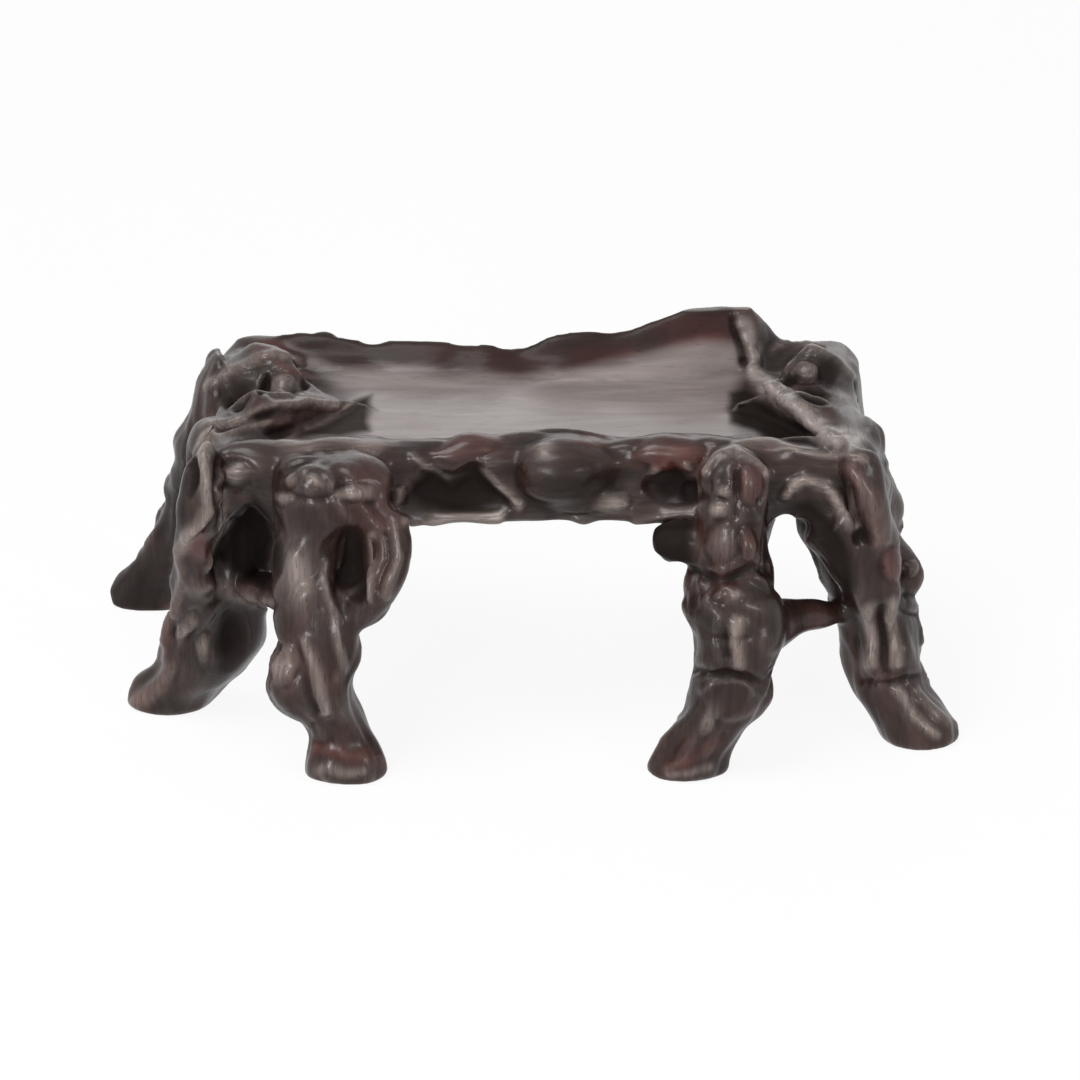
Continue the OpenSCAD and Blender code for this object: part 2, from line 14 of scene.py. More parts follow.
import bmesh
import bpy
import numpy as np
from mathutils import Matrix, Vector, noise
from mathutils.bvhtree import BVHTree


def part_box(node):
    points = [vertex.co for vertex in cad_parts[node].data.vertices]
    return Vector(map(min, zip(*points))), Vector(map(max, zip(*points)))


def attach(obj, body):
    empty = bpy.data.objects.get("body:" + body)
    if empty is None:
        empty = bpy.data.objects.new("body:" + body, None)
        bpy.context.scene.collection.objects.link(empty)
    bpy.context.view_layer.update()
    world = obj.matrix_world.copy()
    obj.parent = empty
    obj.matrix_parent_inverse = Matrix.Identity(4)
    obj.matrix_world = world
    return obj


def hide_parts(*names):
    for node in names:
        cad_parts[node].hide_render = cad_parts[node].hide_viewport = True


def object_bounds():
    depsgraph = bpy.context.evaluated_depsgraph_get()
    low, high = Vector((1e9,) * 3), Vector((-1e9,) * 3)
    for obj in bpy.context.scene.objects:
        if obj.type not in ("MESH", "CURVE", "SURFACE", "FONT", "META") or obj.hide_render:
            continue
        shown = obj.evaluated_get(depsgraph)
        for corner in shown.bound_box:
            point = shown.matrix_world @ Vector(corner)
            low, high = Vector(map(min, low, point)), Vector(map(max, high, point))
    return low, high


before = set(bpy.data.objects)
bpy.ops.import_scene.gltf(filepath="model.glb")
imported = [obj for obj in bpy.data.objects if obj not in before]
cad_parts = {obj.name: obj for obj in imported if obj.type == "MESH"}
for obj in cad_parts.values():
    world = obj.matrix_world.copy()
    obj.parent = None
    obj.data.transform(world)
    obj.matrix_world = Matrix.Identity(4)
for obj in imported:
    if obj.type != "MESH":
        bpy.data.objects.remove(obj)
CAD_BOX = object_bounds()
LOG = logging.getLogger("stand")
MM = 0.001
BODY = "root"

Pixel = tuple[float, float]
Colour = tuple[float, float, float]


class Grain(Enum):
    """Axis that the wood's grain follows in a piece."""

    ALONG = 0
    ACROSS = 1
    UPRIGHT = 2


# Shader graphs


class Val:
    """A number on a node's socket, so that Python's operators add Math nodes."""

    def __init__(self, graph: "Graph", socket: bpy.types.NodeSocket) -> None:
        """Wraps one output socket of a graph."""
        self.graph = graph
        self.socket = socket

    def _math(self, operation: str, first: "Number", second: "Number") -> "Val":
        """Adds one Math node.

        Args:
            operation: Blender's name of the operation.
            first: Left operand.
            second: Right operand.

        Returns:
            The result.
        """
        made = self.graph.node("ShaderNodeMath", {"operation": operation}, {0: first, 1: second})
        return Val(self.graph, made.outputs[0])

    def __add__(self, other: "Number") -> "Val":
        """Sum."""
        return self._math("ADD", self, other)

    def __radd__(self, other: "Number") -> "Val":
        """Sum with a plain number on the left."""
        return self._math("ADD", other, self)

    def __sub__(self, other: "Number") -> "Val":
        """Difference."""
        return self._math("SUBTRACT", self, other)

    def __rsub__(self, other: "Number") -> "Val":
        """Difference with a plain number on the left."""
        return self._math("SUBTRACT", other, self)

    def __mul__(self, other: "Number") -> "Val":
        """Product."""
        return self._math("MULTIPLY", self, other)

    def __rmul__(self, other: "Number") -> "Val":
        """Product with a plain number on the left."""
        return self._math("MULTIPLY", other, self)

    def at_most(self, other: "Number") -> "Val":
        """Lesser of two numbers."""
        return self._math("MINIMUM", self, other)

    def at_least(self, other: "Number") -> "Val":
        """Greater of two numbers."""
        return self._math("MAXIMUM", self, other)

    def between(self, low: float, high: float) -> "Val":
        """Share of the way from low to high, smooth and held to 0 and 1.

        Args:
            low: Value that gives 0.
            high: Value that gives 1.

        Returns:
            The share.
        """
        made = self.graph.node(
            "ShaderNodeMapRange",
            {"interpolation_type": "SMOOTHSTEP"},
            {"Value": self, "From Min": low, "From Max": high},
        )
        return Val(self.graph, made.outputs["Result"])


Number = Union[Val, float]
Tint = Union[bpy.types.NodeSocket, Colour]


class Graph:
    """The node tree of a new material or of the world."""

    def __init__(self, tree: bpy.types.NodeTree) -> None:
        """Takes over a tree and empties it."""
        self.tree = tree
        tree.nodes.clear()

    def node(
        self,
        kind: str,
        settings: Mapping[str, object] | None = None,
        sockets: Mapping[Union[str, int], object] | None = None,
    ) -> bpy.types.Node:
        """Adds any node.

        Args:
            kind: Blender's type of the node.
            settings: The node's own settings, set first.
            sockets: Values or links of its inputs, by name or number.

        Returns:
            The node.
        """
        made = self.tree.nodes.new(kind)
        for name, value in (settings or {}).items():
            setattr(made, name, value)
        for name, value in (sockets or {}).items():
            self._feed(made.inputs[name], value)
        return made

    def _feed(self, socket: bpy.types.NodeSocket, value: object) -> None:
        """Links or sets one input.

        Args:
            socket: The input.
            value: A number, colour, vector, socket or wrapped value.
        """
        if isinstance(value, Val):
            value = value.socket
        if isinstance(value, bpy.types.NodeSocket):
            self.tree.links.new(value, socket)
        elif socket.type == "RGBA" and len(value) == 3:
            socket.default_value = (*value, 1.0)
        else:
            socket.default_value = value

    def mix(self, first: Tint, second: Tint, share: Number) -> bpy.types.NodeSocket:
        """Mixes two colours.

        Args:
            first: Colour at share 0.
            second: Colour at share 1.
            share: How much of the second.

        Returns:
            The colour's socket.
        """
        made = self.node("ShaderNodeMix", {"data_type": "RGBA"}, {0: share, 6: first, 7: second})
        return made.outputs[2]

    def stretched(self, scale: Sequence[float]) -> bpy.types.NodeSocket:
        """Object coordinates multiplied axis by axis.

        Args:
            scale: Multiplier of each axis, in cycles a metre.

        Returns:
            The vector's socket.
        """
        place = self.node("ShaderNodeTexCoord").outputs["Object"]
        made = self.node("ShaderNodeVectorMath", {"operation": "MULTIPLY"}, {0: place, 1: tuple(scale)})
        return made.outputs[0]

    def cloud(self, scale: Sequence[float], detail: float = 3.0, warp: float = 0.0) -> Val:
        """Noise stretched along the axes.

        Args:
            scale: Multiplier of each axis, in cycles a metre.
            detail: Octaves.
            warp: Distortion.

        Returns:
            The noise, about 0.5.
        """
        made = self.node(
            "ShaderNodeTexNoise",
            None,
            {"Vector": self.stretched(scale), "Scale": 1.0, "Detail": detail, "Distortion": warp},
        )
        return Val(self, made.outputs[0])

    def carved(self) -> tuple[Val, Val, Val, Val]:
        """Masks of wear with painted highlight, of painted shade, of heart wood and of painted floor
        sheen.

        Returns:
            Wear-and-highlight, painted-shade, heart-wood and painted floor-sheen shares, from the piece's
            vertices.
        """
        marks = self.node("ShaderNodeAttribute", {"attribute_name": RootSkin.MARKS})
        split = self.node("ShaderNodeSeparateColor", None, {0: marks.outputs["Color"]})
        floor = self.node("ShaderNodeAttribute", {"attribute_name": RootSkin.FLOOR_SHEEN})
        return (*(Val(self, split.outputs[i]) for i in range(3)), Val(self, floor.outputs["Fac"]))


@dataclass(frozen=True)
class WoodFinish:
    """Dark polished hardwood.

    Colours are linear; the grain scales are in cycles a metre.
    """

    name: str
    grain: Grain
    deep: Colour = (0.0085, 0.0039, 0.0032)
    body: Colour = (0.0315, 0.0155, 0.0119)
    heart: Colour = (0.090, 0.0185, 0.0135)
    # pale worn wood on ridges, lightened further as painted highlight
    wear_and_highlight: Colour = (0.322, 0.263, 0.236)
    # painted shade for hollows, creases and pockets
    painted_shade: Colour = (0.0125, 0.0090, 0.0080)
    # painted sheen of the tray's floor, standing in for its reflection
    floor: Colour = (0.265, 0.226, 0.214)
    roughness: float = 0.35
    coat: float = 0.26
    coat_roughness: float = 0.18
    carved: bool = True
    across: float = 900.0
    along: float = 70.0
    bump: float = 0.5
    bump_depth: float = 0.00012
    coat_ior: float = 1.45
    ior: float = 1.42
    specular: float = 0.26

    def scale(self, across: float, along: float) -> tuple[float, ...]:
        """Noise scale of each axis, stretched along the grain.

        Args:
            across: Scale across the grain.
            along: Scale along it.

        Returns:
            The three multipliers.
        """
        return tuple(along if axis == self.grain.value else across for axis in range(3))

    def make(self) -> bpy.types.Material:
        """Builds the material.

        Returns:
            The material.
        """
        material = bpy.data.materials.new(self.name)
        material.use_nodes = True
        g = Graph(material.node_tree)
        streak = g.cloud(self.scale(self.across, self.along), 4.0, 0.6).between(0.32, 0.70)
        band = g.cloud(self.scale(self.across * 0.16, self.along * 0.4), 3.0, 1.2).between(0.36, 0.66)
        pore = g.cloud(self.scale(self.across * 3.2, self.along * 4.5), 2.0).between(0.60, 0.72)
        patch = g.cloud((46.0, 46.0, 46.0), 2.0, 0.4).between(0.46, 0.70)
        colour = g.mix(self.deep, self.body, 0.5 * streak + 0.5 * band)
        if self.carved:
            wear_and_highlight_share, painted_shade, heart, floor = g.carved()
            red = (heart + 0.30 * patch).at_most(1.0)
            colour = g.mix(colour, self.heart, 0.66 * red * (0.45 + 0.55 * band))
            # paler wear on ridges, together with painted highlights on knots and strands
            colour = g.mix(colour, self.wear_and_highlight, 0.75 * wear_and_highlight_share * (0.5 + 0.5 * streak))
            # painted shade: darker, rougher and less glossy in hollows and creases
            colour = g.mix(colour, self.painted_shade, 0.88 * painted_shade)
            # painted sheen on the tray's floor
            colour = g.mix(colour, self.floor, floor * (0.66 + 0.24 * band))
            rough = self.roughness + 0.10 * patch + 0.20 * painted_shade - 0.05 * wear_and_highlight_share + 0.08 * floor
            coat = (self.coat * (1.0 - 0.9 * painted_shade) + 0.04 * floor).at_most(1.0)
            pore_share = 0.55 * pore * (1.0 - 0.7 * floor)
        else:
            colour = g.mix(colour, self.heart, 0.30 * patch * (0.4 + 0.6 * band))
            rough = self.roughness + 0.08 * patch
            coat = self.coat * (1.0 - 0.15 * patch)
            pore_share = 0.55 * pore
        colour = g.mix(colour, self.deep, pore_share)
        height = 0.6 * streak - 0.8 * pore
        bump = g.node(
            "ShaderNodeBump", None, {"Strength": self.bump, "Distance": self.bump_depth, "Height": height}
        )
        shader = g.node(
            "ShaderNodeBsdfPrincipled",
            None,
            {
                "Base Color": colour,
                "Roughness": rough + 0.10 * pore,
                "Coat Weight": coat,
                "Coat Roughness": self.coat_roughness,
                "Coat IOR": self.coat_ior,
                "IOR": self.ior,
                "Specular IOR Level": self.specular,
                "Normal": bump.outputs[0],
            },
        )
        surface = shader
        if self.carved:
            # painted shade: a matt dark shader mixed in over the hollows
            matt = g.node("ShaderNodeBsdfDiffuse", None, {"Color": self.painted_shade})
            surface = g.node(
                "ShaderNodeMixShader", None, {0: 0.85 * painted_shade, 1: shader.outputs[0], 2: matt.outputs[0]}
            )
        g.node("ShaderNodeOutputMaterial", None, {"Surface": surface.outputs[0]})
        return material


# The photograph's viewpoint


@dataclass(frozen=True)
class PhotoView:
    """Where the photograph was taken from, fitted to the feet, the rim and the tray."""

    azimuth: float = -1.0
    elevation: float = 23.0
    distance: float = 0.9
    focal_px: float = 1489.5
    aim_px: Pixel = (546.5, 523.0)
    aim_height: float = 0.033
    image_px: float = 1080.0
    sensor: float = 36.0
    closer: float = 3.0
    nearest: float = 0.05

    def aim(self) -> Vector:
        """Point on the tray's middle line that the photograph's view is measured from."""
        low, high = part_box("tray_panel")
        return Vector(((low[0] + high[0]) / 2, (low[1] + high[1]) / 2, self.aim_height))

    def axes(self) -> tuple[Vector, Vector, Vector]:
        """Directions of the view.

        Returns:
            Right, up and back.
        """
        az, el = math.radians(self.azimuth), math.radians(self.elevation)
        back = Vector((math.sin(az) * math.cos(el), -math.cos(az) * math.cos(el), math.sin(el)))
        right = Vector((math.cos(az), math.sin(az), 0.0))
        return right, back.cross(right), back

    def eye(self) -> Vector:
        """Place of the lens."""
        return self.aim() + self.axes()[2] * self.distance

    def ray(self, pixel: Pixel) -> Vector:
        """Direction from the lens through a pixel."""
        right, up, back = self.axes()
        across, down = ((p - a) / self.focal_px for p, a in zip(pixel, self.aim_px))
        return (right * across - up * down - back).normalized()

    def project(self, points: np.ndarray) -> np.ndarray:
        """Pixels of points.

        Args:
            points: Rows of x, y, z.

        Returns:
            Rows of pixel x, y.
        """
        right, up, back = (np.array(axis) for axis in self.axes())
        away = points - np.array(self.eye())
        deep = -(away @ back)
        across = self.aim_px[0] + self.focal_px * (away @ right) / deep
        down = self.aim_px[1] - self.focal_px * (away @ up) / deep
        return np.stack([across, down], axis=1)

    def add_camera(self) -> bpy.types.Object:
        """Adds the camera, closer in on the stand by a longer lens.

        Returns:
            The camera.
        """
        data = bpy.data.cameras.new("camera")
        data.sensor_width = self.sensor
        data.lens = self.focal_px / self.image_px * self.sensor * self.closer
        data.clip_start = self.nearest
        camera = bpy.data.objects.new("camera", data)
        camera.location = self.eye()
        camera.rotation_euler = self.axes()[2].to_track_quat("Z", "Y").to_euler()
        bpy.context.scene.collection.objects.link(camera)
        bpy.context.scene.camera = camera
        return camera


# Carving marks, each drawn on the photograph in pixels, with its rise in millimetres


@dataclass(frozen=True)
class Boss:
    """A rounded knot, with a groove round it where ring is given."""

    at: Pixel
    half: Pixel
    rise: float
    ring: float = 0.0
    tilt: float = 0.0
    red: float = 0.0
    # share of painted highlight over the knot
    painted_highlight: float = 0.0

    def lift(self, place: np.ndarray) -> np.ndarray:
        """Rise of the surface.

        Args:
            place: Pixels of the vertices.

        Returns:
            Rise in millimetres.
        """
        d = oval_distance(place, self.at, self.half, self.tilt)
        return self.rise * dome(d, 1.5) - self.ring * np.exp(-(((d - 1.02) / 0.2) ** 2))

    def blush(self, place: np.ndarray) -> np.ndarray:
        """Share of red heart wood, by pixel."""
        return self.red * np.exp(-(oval_distance(place, self.at, self.half, self.tilt) ** 4))

    def highlight_share(self, place: np.ndarray) -> np.ndarray:
        """Share of painted highlight, by pixel."""
        return self.painted_highlight * np.exp(-((oval_distance(place, self.at, self.half, self.tilt) / 0.75) ** 2))


@dataclass(frozen=True)
class Hollow:
    """A sunk pocket with a rolled lip, with painted shade in it."""

    at: Pixel
    half: Pixel
    depth: float
    lip: float = 0.0
    tilt: float = 0.0
    shade_paint: float = 0.0

    def lift(self, place: np.ndarray) -> np.ndarray:
        """Rise of the surface.

        Args:
            place: Pixels of the vertices.

        Returns:
            Rise in millimetres.
        """
        d = oval_distance(place, self.at, self.half, self.tilt)
        return self.lip * np.exp(-(((d - 1.15) / 0.24) ** 2)) - self.depth * dome(d, 1.2)

    def shade(self, place: np.ndarray) -> np.ndarray:
        """Share of painted shade in the pocket, by pixel."""
        d = oval_distance(place, self.at, self.half, self.tilt)
        return max(min(self.depth / 2.0, 1.0), self.shade_paint) * np.exp(-((d / 0.9) ** 4))


@dataclass(frozen=True)
class Strand:
    """A raised root strand along a path, or a groove where its rise is below nothing."""

    path: tuple[Pixel, ...]
    half: float
    rise: float
    red: float = 0.0
    # share of painted highlight along the strand
    painted_highlight: float = 0.0

    def near(self, place: np.ndarray) -> np.ndarray:
        """Falling share of the path's width, 1 on the path.

        Args:
            place: Pixels of the vertices.

        Returns:
            The share.
        """
        best = np.full(len(place), 1e9)
        for start, end in zip(self.path, self.path[1:]):
            best = np.minimum(best, run_distance(place, np.array(start), np.array(end)))
        return np.exp(-((best / self.half) ** 2))

    def lift(self, place: np.ndarray) -> np.ndarray:
        """Rise of the surface, in millimetres, by pixel."""
        return self.rise * self.near(place)

    def blush(self, place: np.ndarray) -> np.ndarray:
        """Share of red heart wood, by pixel."""
        return self.red * self.near(place)

    def highlight_share(self, place: np.ndarray) -> np.ndarray:
        """Share of painted highlight, by pixel."""
        return self.painted_highlight * self.near(place)


@dataclass(frozen=True)
class Pocket:
    """A sunk place with a free outline, darkened with painted shade."""

    outline: tuple[Pixel, ...]
    depth: float
    shade_paint: float = 1.0
    soft: float = 5.0

    def lift(self, place: np.ndarray) -> np.ndarray:
        """Rise of the surface, in millimetres, by pixel."""
        return -self.depth * inside_outline(place, self.outline, 2.0 * self.soft)

    def shade(self, place: np.ndarray) -> np.ndarray:
        """Share of painted shade in the pocket, by pixel."""
        return self.shade_paint * inside_outline(place, self.outline, self.soft)


Mark = Union[Boss, Hollow, Strand, Pocket]


def oval_distance(place: np.ndarray, at: Pixel, half: Pixel, tilt: float) -> np.ndarray:
    """Distance from an oval's middle, 1 on the oval.

    Args:
        place: Pixels of the vertices.
        at: Middle.
        half: Half width and half height.
        tilt: Turn in degrees.

    Returns:
        The distances.
    """
    c, s = math.cos(math.radians(tilt)), math.sin(math.radians(tilt))
    away = place - np.array(at)
    return np.hypot((away @ (c, s)) / half[0], (away @ (-s, c)) / half[1])


def dome(d: np.ndarray, power: float) -> np.ndarray:
    """Round rise over an oval, 1 at its middle and 0 from its edge outward."""
    return np.where(d < 1.0, (1.0 - np.minimum(d, 1.0) ** 2) ** power, 0.0)


def run_distance(place: np.ndarray, start: np.ndarray, end: np.ndarray) -> np.ndarray:
    """Distance from a straight run.

    Args:
        place: Pixels of the vertices.
        start: Pixel where the run starts.
        end: Pixel where it ends.

    Returns:
        The distances.
    """
    run = end - start
    t = np.clip(((place - start) @ run) / (run @ run), 0.0, 1.0)
    return np.linalg.norm(place - start - t[:, None] * run, axis=1)


def inside_outline(place: np.ndarray, outline: Sequence[Pixel], soft: float) -> np.ndarray:
    """Share of being inside an outline.

    Args:
        place: Pixels of the vertices.
        outline: Corners of the outline in turn.
        soft: Pixels over which the edge fades.

    Returns:
        1 well inside, 0 well outside.
    """
    corners = np.array(outline)
    inside = np.zeros(len(place), dtype=bool)
    edge = np.full(len(place), 1e9)
    for a, b in zip(corners, np.roll(corners, -1, axis=0)):
        run = b - a
        crosses = (a[1] > place[:, 1]) != (b[1] > place[:, 1])
        at = a[0] + run[0] * (place[:, 1] - a[1]) / (run[1] if run[1] else 1e-9)
        inside ^= crosses & (place[:, 0] < at)
        edge = np.minimum(edge, run_distance(place, a, b))
    return np.clip(0.5 + np.where(inside, edge, -edge) / soft, 0.0, 1.0)


LEFT_RIM: tuple[Mark, ...] = (
    Strand(((437, 472), (442, 466.5), (449, 463.5), (458, 461.5), (465, 463)), 1.6, 0.9, painted_highlight=0.6),
    Hollow((445.5, 474.5), (6.5, 5.5), 2.4, lip=0.2, tilt=-20, shade_paint=1.0),
    Hollow((454, 471.5), (1.8, 4.5), 1.6, tilt=8, shade_paint=1.0),
    Boss((460.5, 471.5), (5.5, 4.4), 1.0, ring=0.4, painted_highlight=0.7),
    Hollow((468, 471), (1.7, 3), 1.2, shade_paint=1.0),
    Strand(((436, 485), (448, 482), (457, 478.5), (468, 476.5), (478, 477.5)), 1.6, 1.1, painted_highlight=0.7),
    Strand(((439, 489), (447, 486), (456, 483.5)), 1.3, 0.8, painted_highlight=0.5),
    Hollow((455, 480.8), (6, 1.6), 0.8, tilt=-14, shade_paint=0.8),
    Hollow((459, 487), (6, 2.4), 0.9, tilt=-8, shade_paint=0.8),
    # painted shadow under the wing's overhanging edge, over a shallow sink
    Pocket(((466, 488.6), (477, 481.8), (489.7, 474.8), (490, 487), (479, 489.6)), 0.5, soft=2.5),
    Strand(((468, 486), (479, 479.8), (489, 473.8)), 1.1, 0.5, painted_highlight=0.6),
    Strand(((452, 461), (459, 465), (468, 468.5)), 1.6, 0.4, red=0.6),
    Strand(((455, 459), (500, 460), (545, 462.5), (575, 459)), 4.5, 0.0, red=0.7),
    # painted shade along the back crest
    Pocket((
        (452, 452), (520, 453), (545, 455), (570, 451), (590, 445), (612, 443), (612, 455), (600, 455),
        (592, 456.5), (582, 459.5), (570, 462), (556, 464.5), (540, 467), (520, 465.5), (500, 464.5),
        (478, 464.5),
    ), 0.0, shade_paint=0.45, soft=3.0),
)
FRONT_LEFT_OUTER: tuple[Mark, ...] = (
    Strand((
        (437, 488), (434, 497), (435, 505), (436, 511), (431, 519), (427.5, 526),
    ), 1.8, 1.7, red=0.1, painted_highlight=0.9),
    Hollow((430.2, 501), (2.0, 8.5), 1.0, tilt=4, shade_paint=1.0),
    Hollow((439, 499), (1.6, 6.5), 1.0, tilt=8, shade_paint=0.9),
    Strand(((427, 528), (426.5, 537), (425, 547), (421.5, 556)), 1.7, 0.8, red=0.5, painted_highlight=0.3),
    Strand(((441.5, 507), (441.5, 516), (438, 524), (436, 531)), 1.4, 1.0, red=0.1, painted_highlight=0.7),
    Strand(((438, 505), (438.5, 512), (434, 520)), 1.1, -0.9),
    Boss((432.5, 526), (3.6, 5.5), 0.2, red=1.0),
    Boss((445, 501.5), (6.5, 4.6), 1.0, ring=0.4, tilt=-8, painted_highlight=0.9),
    # deep cavity between the front left legs, filled with painted shade
    Pocket((
        (450.6, 509), (444, 518), (438.6, 529.5), (443.5, 535), (454, 539.6), (458.4, 533.5), (459.6, 525),
        (456.5, 515),
    ), 0.8, soft=3.0),
    # painted shade over the back left leg
    Pocket((
        (429, 491), (422, 503), (417, 524), (401, 540), (403, 548), (421, 548), (424, 532), (429, 513),
    ), 0.0, shade_paint=0.55, soft=4.0),
    Strand(((430, 536), (444, 539.5), (455, 543)), 3.0, 0.9, red=0.3, painted_highlight=0.3),
    Hollow((444, 556), (6.5, 10.5), 1.8, tilt=10, shade_paint=0.9),
    Boss((434.5, 559.5), (2.6, 5), 0.8, ring=0.3, tilt=14, painted_highlight=0.8),
    Boss((429, 553), (3.2, 6.5), 0.7, ring=0.3, tilt=20, red=0.3, painted_highlight=0.7),
    Strand(((424, 545), (423, 555), (421, 562)), 1.5, 0.3, red=1.0),
    Strand(((424, 566), (418, 573), (411, 578)), 2.6, 0.6, red=0.7, painted_highlight=0.4),
)
FRONT_LEFT_INNER: tuple[Mark, ...] = (
    Strand(((460, 491), (475, 490.5), (492, 493)), 2.2, 0.6, red=0.2, painted_highlight=0.5),
    Boss((470, 502.5), (10.5, 6.5), 0.8, ring=0.5),
    Boss((463.2, 502.4), (3.2, 2.4), 0.35, ring=0.3, tilt=-30, painted_highlight=0.8),
    Boss((472, 502.8), (4.2, 2.4), 0.4, ring=0.3, tilt=24, painted_highlight=0.9),
    Boss((484.5, 507.5), (7, 3.2), 0.8, ring=0.3, tilt=4, painted_highlight=0.9),
    Boss((500, 508.5), (3.4, 4), 0.8, ring=0.4, tilt=20, red=0.2, painted_highlight=0.8),
    Boss((461, 508.6), (3.2, 2.2), 0.6, ring=0.2, tilt=10, painted_highlight=0.8),
    Boss((465.5, 535), (7, 12.5), 0.6, tilt=-14, painted_highlight=0.95),
    Hollow((484, 531), (6.2, 13.5), 2.6, tilt=-4, shade_paint=0.9),
    Strand(((474, 531), (476, 543), (479, 555), (480.5, 566)), 1.6, 0.8, painted_highlight=0.5),
    Strand(((490, 521), (492, 531), (489.5, 542)), 1.2, 0.8, painted_highlight=0.7),
    Strand(((494.5, 521), (495.5, 530), (493, 540)), 1.0, -0.8),
    Strand(((498, 517), (499, 529), (495.5, 541)), 1.5, 0.8, painted_highlight=0.5),
    Boss((461.5, 565), (4.2, 8), 0.8, ring=0.4, tilt=10, red=0.2, painted_highlight=0.8),
    Strand(((468.5, 556), (471, 568), (475, 580)), 1.8, 0.8, painted_highlight=0.8),
    Strand(((466.5, 556), (467.5, 568), (471, 580)), 1.2, -0.6),
    Strand(((480, 560), (479, 570), (481, 582)), 1.6, 0.5),
    Boss((474, 586.5), (4, 4.5), 0.4, ring=0.2),
    Strand(((470, 592), (481, 594), (492, 596)), 2.6, 0.4, red=0.7),
    Strand(((472, 599.5), (480, 600.5), (488, 599.5)), 1.6, 0.2, painted_highlight=0.5),
)
FRONT_APRON: tuple[Mark, ...] = (
    Strand(((500, 490), (520, 488), (545, 486), (570, 487), (600, 489), (650, 496)), 1.6, 0.3),
    Boss((555, 501), (19, 14.5), 0.7, ring=1.1),
    Boss((549, 493.2), (5, 2.6), 0.3, tilt=-4, painted_highlight=0.9),
    # painted shade over the burl's body
    Hollow((558, 503.5), (15, 9), 0.0, shade_paint=0.4),
    Boss((564, 489.5), (6, 3), 0.3, red=0.9),
    Boss((522, 492), (13, 4.2), 0.8, ring=0.3, tilt=-12, red=0.9),
    Strand(((527, 499), (535, 497.5)), 1.5, 0.5),
    Pocket((
        (502.5, 511), (506, 505), (511, 501.5), (517, 503.5), (524, 499.5), (530, 504), (534, 511),
        (526, 512.6), (514, 513.4),
    ), 2.4, soft=3.5),
    Strand(((528, 501.5), (534, 508), (540, 513)), 1.5, 1.1, painted_highlight=0.7),
    Strand(((505, 496), (510, 500), (515, 503)), 1.2, 0.6, painted_highlight=0.5),
    Strand(((502, 517), (518, 515.6), (533, 514.5)), 1.7, 1.0, painted_highlight=0.95),
    Boss((570, 511), (7.5, 3.8), 1.1, ring=0.2, tilt=-14, painted_highlight=0.9),
    Boss((590, 494.5), (13.5, 7.5), 1.1, ring=0.4, red=0.9),
    Pocket((
        (583, 505.5), (587, 502.5), (590.5, 499), (593.5, 503), (598, 506), (594, 510.5), (588, 509.5),
    ), 2.2, soft=3.0),
    Hollow((597, 508.5), (6, 3.6), 1.2, shade_paint=0.7),
    Boss((584, 500.5), (2.8, 2.2), 0.6, ring=0.2, tilt=-40, red=0.2, painted_highlight=0.7),
    Boss((595.5, 499), (2.4, 2.2), 0.6, ring=0.2, painted_highlight=0.7),
    Strand(((578, 516), (590, 515.5), (598, 515)), 1.5, 0.8, painted_highlight=0.4),
    Strand(((600, 511), (596, 513.5), (588, 514)), 1.4, 0.4, painted_highlight=0.5),
)
ROPE: tuple[Pixel, ...] = (
    (614.8, 451), (617, 456), (618.4, 461.5), (617.6, 467), (621.5, 471.5), (626.5, 475), (631.5, 478.5),
    (636.5, 483), (641.5, 487.5), (647, 491),
)
RIGHT_RIM: tuple[Mark, ...] = (
    *(
        Boss(at, (3.0 + 0.5 * (i % 3), 2.6), 0.5, ring=0.2, tilt=40.0 * i, painted_highlight=0.7 + 0.3 * (i % 2))
        for i, at in enumerate(ROPE)
    ),
    Strand(ROPE, 2.0, 0.8, painted_highlight=0.7),
    Strand(((619, 467), (624, 474), (632, 479), (641, 486), (650, 491.5)), 3.2, 0.3, painted_highlight=0.95),
    Strand(((617.6, 463), (618.6, 468), (623, 472.5), (630, 476.5)), 2.4, 0.3, painted_highlight=0.8),
    Boss((598, 452), (18, 9), 0.0, red=0.9),
    Strand(((611.8, 449.5), (613.4, 456), (615, 463.5)), 1.2, -0.9),
    Hollow((615, 464), (2, 2.4), 0.9, shade_paint=0.8),
    # painted shadow under the rope, over a shallow sink
    Pocket((
        (609.4, 474), (614, 473), (618, 475), (624, 479), (633, 484.5), (640, 490.5), (627, 489.8),
        (618, 486.5), (610, 484),
    ), 1.0, soft=2.5),
    Strand(((625, 459), (630, 457), (637, 459), (645, 463), (650, 469)), 1.5, 0.6, painted_highlight=0.5),
    Boss((635, 466.5), (5.5, 4), 0.9, ring=0.6, tilt=10, painted_highlight=0.6),
    Hollow((629, 469), (3.4, 3), 0.9, shade_paint=0.9),
    Hollow((638, 475), (5.5, 2.8), 1.3, tilt=14, shade_paint=1.0),
    Hollow((642.5, 468), (4.5, 5), 0.9, shade_paint=0.8),
    Strand(((612, 492), (626, 491), (640, 494), (655, 497)), 1.5, 0.6, painted_highlight=0.6),
)
